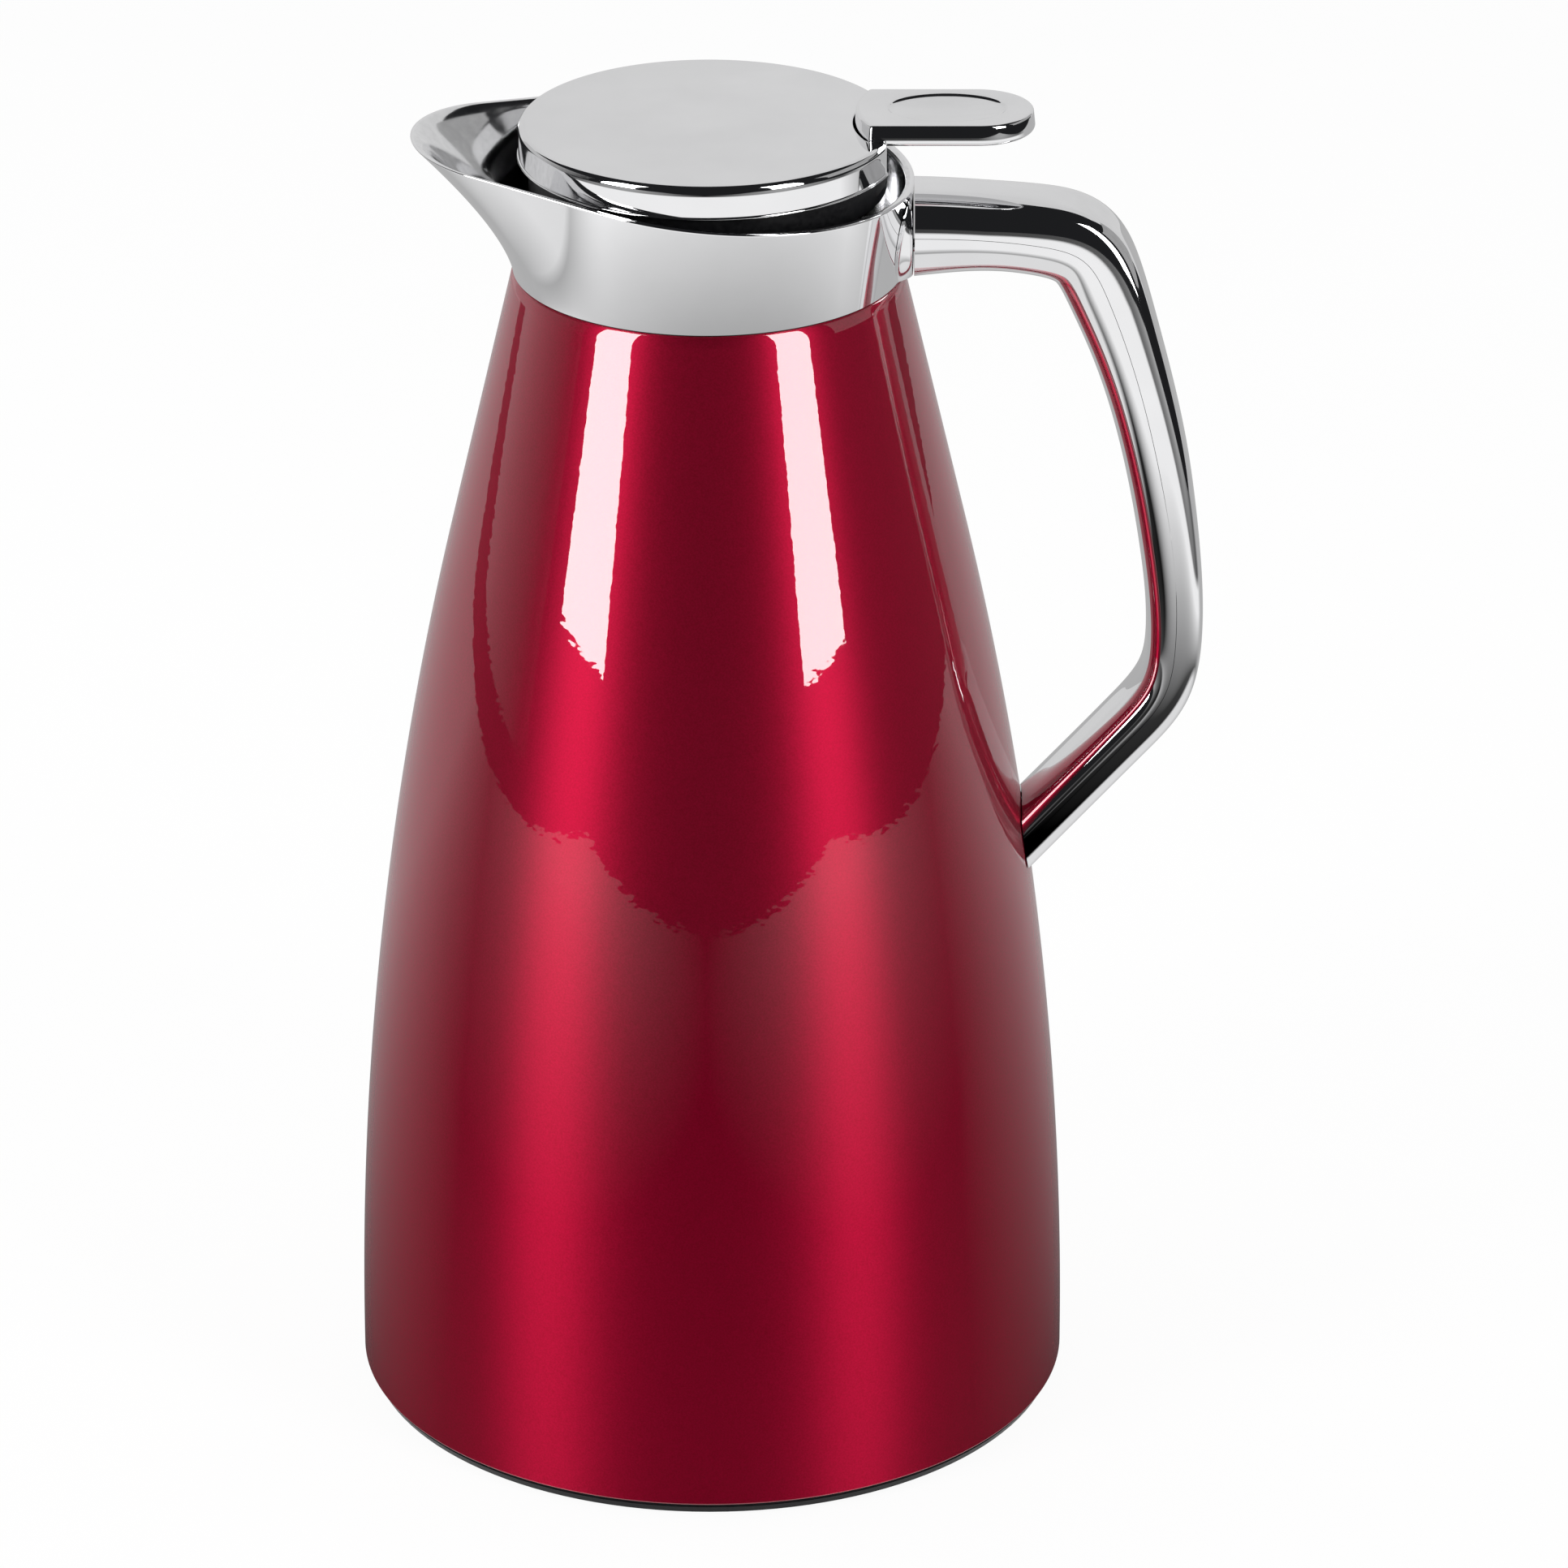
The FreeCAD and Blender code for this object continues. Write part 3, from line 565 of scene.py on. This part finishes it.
unbuffed_tints = ((0.82, 0.82, 0.83), (0.90, 0.90, 0.91))
unbuffed_chrome, _, shader, _ = mottled_finish("unbuffed_chrome", 500, 2.0, unbuffed_tints, (0.09, 0.13))
shader.inputs["Metallic"].default_value = 1.0
row_finish = [int(inside_first <= k < len(row) - 1) for k in range(len(row))]
collar_piece.data.materials.append(chrome)
collar_piece.data.materials.append(unbuffed_chrome)
collar_piece.data.polygons.foreach_set("material_index", row_finish * collar_segments)
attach(collar_piece, "jug")
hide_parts("collar")

# Lid cover: a spun and chromed disc with a short skirt and a rolled lower edge.
# A slot with a bowed end is cut out of it for the thumb lever.
# Screws from under the stopper hold it by two posts.
lid_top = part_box("lid_cover")[1].z
cover_radius = 0.0404
skirt_bottom = 0.2890
skirt_bead = 0.00035
cover_edge = 0.0014
slot_edge = 0.0004
edge_margin = 0.0003
cover_sheet = 0.0010
lever_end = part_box("thumb_lever")[1].x
lever_half_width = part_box("thumb_lever")[1].y
bow_centre = lever_end - lever_half_width
slot_inner = 0.0310
slot_bow = bow_centre - slot_inner
slot_gap = 0.0006
slot_half = lever_half_width + slot_gap
mouth_corner = 0.0008
slot_corner = 0.0026
mouth_trim = 0.05
bow_trim = 0.07
rim_depth = 0.0002
disc_steps = 360
bow_steps = 60
corner_steps = 6
bead_steps = 6
skirt_steps = 6
round_steps = 8


def arc(middle, radius, first, last, count):
    """Points of an arc about a place on the line from the lid's middle to the handle."""
    turns = numpy.linspace(first, last, count + 1)
    return numpy.stack([middle + radius * numpy.cos(turns), radius * numpy.sin(turns)], 1)


def round_corner(before, corner, after, radius):
    """Points of a round drawn between two directions at a corner."""
    first = (before - corner) / numpy.linalg.norm(before - corner)
    second = (after - corner) / numpy.linalg.norm(after - corner)
    half = math.acos(max(-1, min(1, float(first @ second)))) / 2
    reach = radius / math.tan(half)
    middle = (first + second) / numpy.linalg.norm(first + second)
    centre = corner + middle * radius / math.sin(half)
    start = corner + first * reach - centre
    end = corner + second * reach - centre
    mixed = numpy.linspace(start, end, corner_steps + 1)
    return centre + mixed / numpy.linalg.norm(mixed, axis=1)[:, None] * radius


def outline_loop(body, outline, inset, height):
    """Loop of an anticlockwise outline, moved in and set at a height; both may change along it."""
    flow = numpy.roll(outline, -1, axis=0) - numpy.roll(outline, 1, axis=0)
    flow /= numpy.linalg.norm(flow, axis=1)[:, None]
    inward = numpy.stack([-flow[:, 1], flow[:, 0]], 1)
    places = outline + inward * numpy.broadcast_to(inset, len(outline))[:, None]
    heights = numpy.broadcast_to(height, len(outline))
    return [body.verts.new((x, y, z)) for (x, y), z in zip(places, heights)]


meet_angle = math.asin(slot_half / cover_radius)
meet_x = cover_radius * math.cos(meet_angle)
rim_start = meet_angle + mouth_trim
disc_edge = arc(0, cover_radius, rim_start, 2 * math.pi - rim_start, disc_steps)
bow_angle = math.asin(slot_half / slot_bow)
bow_span = bow_angle - bow_trim
bow_edge = arc(bow_centre, slot_bow, math.pi + bow_span, math.pi - bow_span, bow_steps)
inner_x = bow_centre - slot_bow * math.cos(bow_angle)
near_mouth = numpy.array((meet_x, -slot_half))
near_inner = numpy.array((inner_x, -slot_half))
far_inner = numpy.array((inner_x, slot_half))
far_mouth = numpy.array((meet_x, slot_half))
cover_outline = numpy.concatenate(
    [
        disc_edge,
        round_corner(disc_edge[-1], near_mouth, near_inner, mouth_corner),
        round_corner(near_mouth, near_inner, bow_edge[0], slot_corner),
        bow_edge,
        round_corner(bow_edge[-1], far_inner, far_mouth, slot_corner),
        round_corner(far_inner, far_mouth, disc_edge[0], mouth_corner),
    ]
)
on_rim = numpy.linalg.norm(cover_outline, axis=1) > cover_radius - rim_depth
edge_round = numpy.where(on_rim, cover_edge, slot_edge)
bead_top = skirt_bottom + 2 * skirt_bead
cover_rows = [(cover_sheet, skirt_bottom), (cover_sheet / 2, skirt_bottom - skirt_bead)]
for turn in numpy.linspace(-math.pi / 2, math.pi / 2, bead_steps + 1):
    cover_rows.append((-skirt_bead * math.cos(turn), skirt_bottom + skirt_bead * math.sin(turn)))
for step in range(1, skirt_steps + 1):
    cover_rows.append((0, bead_top + (lid_top - edge_round - bead_top) * step / skirt_steps))
for step in range(1, round_steps + 1):
    bend = math.pi / 2 * step / round_steps
    cover_rows.append((edge_round * (1 - math.cos(bend)), lid_top - edge_round * (1 - math.sin(bend))))
cover_rows.append((edge_round + edge_margin, lid_top))

cover = bmesh.new()
cover_loops = [outline_loop(cover, cover_outline, inset, height) for inset, height in cover_rows]
under = outline_loop(cover, cover_outline, cover_sheet, lid_top - cover_sheet)
inner_skirt = outline_loop(cover, cover_outline, cover_sheet, lid_top - 2 * cover_sheet)
skin(cover, cover_loops)
skin(cover, [under, inner_skirt, cover_loops[0]])
cover.faces.new(cover_loops[-1])
cover.faces.new(under[::-1])
cover_piece = finished_mesh("lid_disc", cover)
cover_piece.data.materials.append(chrome)
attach(cover_piece, "lid")
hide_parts("lid_cover")

# Stopper: a black moulded cup under the cover with a ported plug that seals the neck.
# The lever's steel pin sits in two ears of the cup and two steel screws hold the cover.
# The valve in it is a disc with a soft seal on a stem, and a clip that the lever lifts.
refinish(["stopper_body", "valve_stem", "valve_disc"], black_plastic)
refinish(["valve_seal"], black_rubber)
refinish(["lever_pin", "cover_screw_left", "cover_screw_right", "stem_clip"], plain_steel)

# Valve spring: one coil of plain steel wire that keeps the valve shut.
# It stands on the valve disc under the stopper's floor and shortens as the valve lifts.
spring_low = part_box("valve_spring")[0].z
spring_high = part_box("valve_spring")[1].z
spring_wire = 0.0008
wire_radius = spring_wire / 2
spring_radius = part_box("valve_spring")[1].y - wire_radius
spring_turns = 5
turn_steps = 48
wire_sides = 12
spring = bmesh.new()
spring_rings = []
for step in range(spring_turns * turn_steps + 1):
    turn = 2 * math.pi * step / turn_steps
    part = step / (spring_turns * turn_steps)
    middle = spring_low + wire_radius + (spring_high - spring_low - spring_wire) * part
    ring = []
    for side in range(wire_sides):
        bend = 2 * math.pi * side / wire_sides
        reach = spring_radius + wire_radius * math.cos(bend)
        height = middle + wire_radius * math.sin(bend)
        ring.append(spring.verts.new((reach * math.cos(turn), reach * math.sin(turn), height)))
    spring_rings.append(ring)
skin(spring, spring_rings)
spring.faces.new(spring_rings[0][::-1])
spring.faces.new(spring_rings[-1])
spring_piece = finished_mesh("valve_coil", spring)
spring_piece.data.materials.append(plain_steel)
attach(spring_piece, "valve")
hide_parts("valve_spring")
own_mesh(spring_piece)

# Thumb lever: a die-cast and chromed plate with a thumb dish on top and a round end.
# Under the cover it carries a hub on the steel pin and a fork round the valve stem.
# Its inner end follows the bowed end of the cover's slot with an even gap.
lever_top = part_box("thumb_lever")[1].z
lever_under = 0.2947
top_edge_round = 0.0007
under_edge_round = 0.0010
under_margin = 0.0004
lever_draft = 0.0003
end_corner = 0.0011
end_trim = 0.11
dish_offset = 0.0065
dish_centre = bow_centre - dish_offset
dish_half_length = 0.0125
dish_half_width = 0.0085
dish_depth = 0.0008
dish_lip = 0.035
dish_wall = 0.00045
dish_steps = 25
lip_steps = 8
plate_round_steps = 6
outer_end_steps = 48
inner_end_steps = 24
side_steps = 12
inner_reach = slot_bow - slot_gap
side_angle = math.asin(lever_half_width / inner_reach)
inner_span = side_angle - end_trim
corner_x = bow_centre - inner_reach * math.cos(side_angle)
outer_end = arc(bow_centre, lever_half_width, -math.pi / 2, math.pi / 2, outer_end_steps)
inner_end = arc(bow_centre, inner_reach, math.pi - inner_span, math.pi + inner_span, inner_end_steps)
far_corner = numpy.array((corner_x, lever_half_width))
near_corner = numpy.array((corner_x, -lever_half_width))
far_round = round_corner(outer_end[-1], far_corner, inner_end[0], end_corner)
near_round = round_corner(inner_end[-1], near_corner, outer_end[0], end_corner)
far_side = numpy.linspace(outer_end[-1], far_round[0], side_steps + 1)[1:-1]
near_side = numpy.linspace(near_round[-1], outer_end[0], side_steps + 1)[1:-1]
plate_outline = numpy.concatenate([outer_end, far_side, far_round, inner_end, near_round, near_side])

plate_rows = [(under_edge_round + under_margin, lever_under)]
for bend in numpy.linspace(0, math.pi / 2, plate_round_steps + 1):
    inset = under_edge_round * (1 - math.sin(bend)) - lever_draft
    plate_rows.append((inset, lever_under + under_edge_round * (1 - math.cos(bend))))
for bend in numpy.linspace(0, math.pi / 2, plate_round_steps + 1):
    inset = top_edge_round * (1 - math.cos(bend))
    plate_rows.append((inset, lever_top - top_edge_round * (1 - math.sin(bend))))
plate_rows.append((top_edge_round + edge_margin, lever_top))

lever = bmesh.new()
plate_loops = [outline_loop(lever, plate_outline, inset, height) for inset, height in plate_rows]
dish_turns = []
for vertex in plate_loops[-1]:
    along = (vertex.co.x - dish_centre) / dish_half_length
    dish_turns.append(math.atan2(vertex.co.y / dish_half_width, along))


def dish_loop(size, height):
    """Oval loop of the thumb dish."""
    loop = []
    for turn in dish_turns:
        x = dish_centre + size * dish_half_length * math.cos(turn)
        loop.append(lever.verts.new((x, size * dish_half_width * math.sin(turn), height)))
    return loop


for step in range(lip_steps + 1):
    part = step / lip_steps
    drop = dish_wall * part * part * (3 - 2 * part)
    plate_loops.append(dish_loop(1 + dish_lip * (1 - 2 * part), lever_top - drop))
for step in range(1, dish_steps):
    size = (1 - dish_lip) * (1 - step / dish_steps)
    plate_loops.append(dish_loop(size, lever_top - dish_wall - dish_depth * (1 - size**2)))
skin(lever, plate_loops)
lever.faces.new(plate_loops[-1])
lever.faces.new(plate_loops[0][::-1])


def lever_block(low, high):
    """Plain bar of the lever's hidden arm."""
    for vertex in bmesh.ops.create_cube(lever, size=1)["verts"]:
        for axis in range(3):
            vertex.co[axis] = low[axis] if vertex.co[axis] < 0 else high[axis]


pin_x = 0.0240
pin_z = 0.2900
hub_radius = 0.0030
hub_half = 0.0080
arm_set = 0.0010
arm_end = 0.0378
arm_gap = 0.0002
fork_low = 0.2852
fork_high = 0.2879
fork_half = 0.0063
fork_root = 0.0045
prong_inner = 0.0037
prong_end = -0.0024
prong_root = 0.0048
hub_segments = 32
lever_block((pin_x + arm_set, -hub_half, pin_z - arm_set), (arm_end, hub_half, lever_under - arm_gap))
lever_block((fork_root, -fork_half, fork_low), (pin_x, fork_half, fork_high))
lever_block((prong_end, prong_inner, fork_low), (prong_root, fork_half, fork_high))
lever_block((prong_end, -fork_half, fork_low), (prong_root, -prong_inner, fork_high))
hub = bmesh.ops.create_cone(
    lever, cap_ends=True, segments=hub_segments, radius1=hub_radius, radius2=hub_radius, depth=2 * hub_half
)
for vertex in hub["verts"]:
    vertex.co = (pin_x + vertex.co.x, vertex.co.z, pin_z + vertex.co.y)
lever_piece = finished_mesh("thumb_plate", lever)
lever_piece.data.materials.append(chrome)
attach(lever_piece, "lever")
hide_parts("thumb_lever")

# Table: a wide sheet of pale paper that the jug stands on.
# It looks white and keeps a faint shadow of the jug.
# In the chrome and the lacquer it shows a painted reflection: painted grey behind the jug, painted light
# where it is seen steeply, and painted pools of light before the soft boxes.
table_half_width = 1.00
table_front = -1.02
table_back = 2.2
shadow_share = 0.06
paper_tints = ((0.86, 0.86, 0.86), (0.89, 0.89, 0.89))
# Painted reflection of the table: the grey behind the jug, the painted light where it is seen steeply and the
# pools of light before the soft boxes.
painted_far_grey = (0.46, 0.46, 0.46, 1)
white = (1, 1, 1, 1)
behind_reach = (-0.05, 0.25)
front_tilt = (0.68, 0.66)
front_reach = (0.38, 0.56)
painted_front_light = 0.94
steep_tilt = (0.50, 0.44)
painted_steep_light = 0.80
painted_light_pools = [(-0.92, -0.77, 0), (0.89, -0.80, 0)]
painted_pool_reach = (0.15, 0.95)
painted_pool_light = 0.38


def stage_sheet(name, corners, material, seen):
    """Flat sheet of the studio; the camera looks past a sheet that isn't seen."""
    mesh = bpy.data.meshes.new(name)
    mesh.from_pydata(corners, [], [(0, 1, 2, 3)])
    sheet = bpy.data.objects.new(name, mesh)
    bpy.context.scene.collection.objects.link(sheet)
    sheet.data.materials.append(material)
    sheet.visible_camera = seen


def blend(tree, share, first, second):
    """Mix of two shaders."""
    mixed = tree.nodes.new("ShaderNodeMixShader")
    tree.links.new(share, mixed.inputs["Fac"])
    tree.links.new(first, mixed.inputs[1])
    tree.links.new(second, mixed.inputs[2])
    return mixed.outputs["Shader"]


def join(tree, kind, first, second):
    """Product of two values, or the larger of them."""
    both = tree.nodes.new("ShaderNodeMath")
    both.operation = kind
    tree.links.new(first, both.inputs[0])
    tree.links.new(second, both.inputs[1])
    return both.outputs[0]


def apart(tree, place, spot):
    """Distance of a place from a spot."""
    distance = tree.nodes.new("ShaderNodeVectorMath")
    distance.operation = "DISTANCE"
    distance.inputs[1].default_value = spot
    tree.links.new(place, distance.inputs[0])
    return distance.outputs["Value"]


table_top, tree, shader = new_finish("table_top")
tree.links.new(tints(tree, grain(tree, 30), paper_tints), shader.inputs["Base Color"])
shader.inputs["Roughness"].default_value = 0.9
shader.inputs["Specular IOR Level"].default_value = 0.0
light_path = tree.nodes.new("ShaderNodeLightPath")
bright_paper = tree.nodes.new("ShaderNodeEmission")
bright_paper.inputs["Color"].default_value = white
bright_paper.inputs["Strength"].default_value = 1.0
seen_share = slope(tree, light_path.outputs["Is Camera Ray"], (0, 1), (0, 1 - shadow_share))
paper_look = blend(tree, seen_share, shader.outputs["BSDF"], bright_paper.outputs["Emission"])

# Painted reflection: to glossy rays the table glows by itself, brighter where it is seen steeply, more so
# away from the jug's foot, and grey behind the jug.
place = tree.nodes.new("ShaderNodeTexCoord").outputs["Object"]
split = tree.nodes.new("ShaderNodeSeparateXYZ")
tree.links.new(place, split.inputs["Vector"])
facing = tree.nodes.new("ShaderNodeLayerWeight")
facing.inputs["Blend"].default_value = 0.5
tilt = facing.outputs["Facing"]
painted_light = join(
    tree,
    "MULTIPLY",
    slope(tree, tilt, front_tilt, (0, painted_front_light)),
    slope(tree, apart(tree, place, (0, 0, 0)), front_reach, (0, 1)),
)
painted_light = join(tree, "MAXIMUM", painted_light, slope(tree, tilt, steep_tilt, (0, painted_steep_light)))
# Painted pools of light on the table before the two soft boxes, seen only in reflections.
for spot in painted_light_pools:
    painted_pool = slope(tree, apart(tree, place, spot), painted_pool_reach, (painted_pool_light, 0))
    painted_light = join(tree, "MAXIMUM", painted_light, painted_pool)
painted_near_reflection = tree.nodes.new("ShaderNodeEmission")
tree.links.new(painted_light, painted_near_reflection.inputs["Strength"])
painted_far_reflection = tree.nodes.new("ShaderNodeEmission")
painted_far_reflection.inputs["Color"].default_value = painted_far_grey
behind = slope(tree, split.outputs["Y"], behind_reach, (0, 1))
painted_reflection = blend(tree, behind, painted_near_reflection.outputs["Emission"], painted_far_reflection.outputs["Emission"])
whole_look = blend(tree, light_path.outputs["Is Glossy Ray"], paper_look, painted_reflection)
tree.links.new(whole_look, tree.nodes["Material Output"].inputs["Surface"])
table_corners = [
    (-table_half_width, table_front, 0),
    (table_half_width, table_front, 0),
    (table_half_width, table_back, 0),
    (-table_half_width, table_back, 0),
]
stage_sheet("table", table_corners, table_top, True)

# Wall and cards: a light paper wall behind the table and a card on each side of the jug.
# They stand upright round the table, for the chrome and the lacquer to mirror.
wall_half_width = 2.4
wall_foot = -0.6
wall_height = 3.2
card_distance = 1.3
card_back = 1.6
right_card_front = -0.35
right_card_low = 0.25
right_card_high = 1.3
left_card_front = -0.4
left_card_high = 1.0
left_card_painted_fade = (-0.3, 0.7)
left_card_painted_light = 0.45
card_black = (0.05, 0.05, 0.05, 1)
wall_tints = ((0.62, 0.62, 0.62), (0.66, 0.66, 0.66))
card_tints = ((0.26, 0.26, 0.26), (0.32, 0.32, 0.32))


def upright_card(name, first, last, low, high, material):
    """Upright sheet between two places on the floor."""
    corners = [(*first, low), (*last, low), (*last, high), (*first, high)]
    stage_sheet(name, corners, material, False)


def glowing_paper(name, fineness, colours, roughness):
    """Paper that glows evenly with a slight mottle."""
    material, tree, shader = new_finish(name)
    shader.inputs["Base Color"].default_value = card_black
    shader.inputs["Roughness"].default_value = roughness
    shader.inputs["Emission Strength"].default_value = 1.0
    tree.links.new(tints(tree, grain(tree, fineness), colours), shader.inputs["Emission Color"])
    return material


wall_paper = glowing_paper("wall_paper", 2, wall_tints, 0.9)
wall_left = (-wall_half_width, table_back)
wall_right = (wall_half_width, table_back)
upright_card("wall", wall_left, wall_right, wall_foot, wall_height, wall_paper)
card_paper = glowing_paper("card_paper", 3, card_tints, 0.5)
right_front = (card_distance, right_card_front)
right_back = (card_distance, card_back)
upright_card("right_card", right_front, right_back, right_card_low, right_card_high, card_paper)

# Painted light on the left card: it glows by itself, from nothing at its front edge up to its full glow
# towards its back.
painted_shade_paper, tree, shader = new_finish("painted_shade_paper")
shader.inputs["Base Color"].default_value = card_black
shader.inputs["Emission Color"].default_value = white
split = tree.nodes.new("ShaderNodeSeparateXYZ")
tree.links.new(tree.nodes.new("ShaderNodeTexCoord").outputs["Object"], split.inputs["Vector"])
painted_fade = slope(tree, split.outputs["Y"], left_card_painted_fade, (0, left_card_painted_light))
tree.links.new(painted_fade, shader.inputs["Emission Strength"])
left_back = (-card_distance, card_back)
left_front = (-card_distance, left_card_front)
upright_card("left_card", left_back, left_front, 0, left_card_high, painted_shade_paper)

# Lamps: two tall soft boxes before the jug give the two bright stripes on the lacquer.
# Two square fills light its sides and a panel hangs over it; these three aren't mirrored.
lamp_distance = 1.2
box_low = 0.17
box_height = 1.40
fill_low = 0.05
fill_size = 0.8
panel_size = 1.6
panel_brightness = 1.3
panel_place = (0, 0.3, 2.0)


def soft_box(name, bearing, low, width, height, brightness, mirrored):
    """Soft box that faces the jug; bearing is in degrees to the right of the camera."""
    light = bpy.data.lights.new(name, "AREA")
    light.shape = "RECTANGLE"
    light.size = width
    light.size_y = height
    light.energy = brightness * math.pi * width * height
    lamp = bpy.data.objects.new(name, light)
    turn = math.radians(bearing)
    lamp.location = (lamp_distance * math.sin(turn), -lamp_distance * math.cos(turn), low + height / 2)
    lamp.rotation_euler = (math.pi / 2, 0, turn)
    lamp.visible_camera = False
    lamp.visible_glossy = mirrored
    bpy.context.scene.collection.objects.link(lamp)


soft_box("soft_box_left", -53, box_low, 0.46, box_height, 6.8, True)
soft_box("soft_box_right", 48, box_low, 0.42, box_height, 6.5, True)
soft_box("side_fill_left", -105, fill_low, fill_size, fill_size, 4.5, False)
soft_box("side_fill_right", 105, fill_low, fill_size, fill_size, 3.0, False)

panel_light = bpy.data.lights.new("ceiling_panel", "AREA")
panel_light.shape = "SQUARE"
panel_light.size = panel_size
panel_light.energy = panel_brightness * math.pi * panel_size**2
ceiling_panel = bpy.data.objects.new("ceiling_panel", panel_light)
ceiling_panel.location = panel_place
ceiling_panel.visible_camera = False
ceiling_panel.visible_glossy = False
bpy.context.scene.collection.objects.link(ceiling_panel)

# Room: nearly dark, so that the lamps alone shape the jug.
# Past the edges of the table the camera sees plain white.
room_tint = (0.9, 0.92, 1.0, 1)
room_brightness = 0.015
room = bpy.data.worlds.new("room")
room.use_nodes = True
tree = room.node_tree
dark_room = tree.nodes["Background"]
dark_room.inputs["Color"].default_value = room_tint
dark_room.inputs["Strength"].default_value = room_brightness
white_room = tree.nodes.new("ShaderNodeBackground")
white_room.inputs["Color"].default_value = white
white_room.inputs["Strength"].default_value = 1.0
seen = tree.nodes.new("ShaderNodeLightPath").outputs["Is Camera Ray"]
room_look = blend(tree, seen, dark_room.outputs["Background"], white_room.outputs["Background"])
tree.links.new(room_look, tree.nodes["World Output"].inputs["Surface"])
bpy.context.scene.world = room

# Camera: a long lens that looks down on the jug from the front, a little to the handle's side.
# Colours are shown as they are written.
camera_place = (0.0163, -1.629, 0.889)
camera_tilt = math.radians(65.33)
camera_data = bpy.data.cameras.new("camera")
camera_data.sensor_width = 36.0
camera_data.lens = 186.3
camera_data.clip_end = 20
camera = bpy.data.objects.new("camera", camera_data)
camera.location = camera_place
camera.rotation_euler = (camera_tilt, 0, 0)
bpy.context.scene.collection.objects.link(camera)
bpy.context.scene.camera = camera
bpy.context.scene.view_settings.view_transform = "Standard"
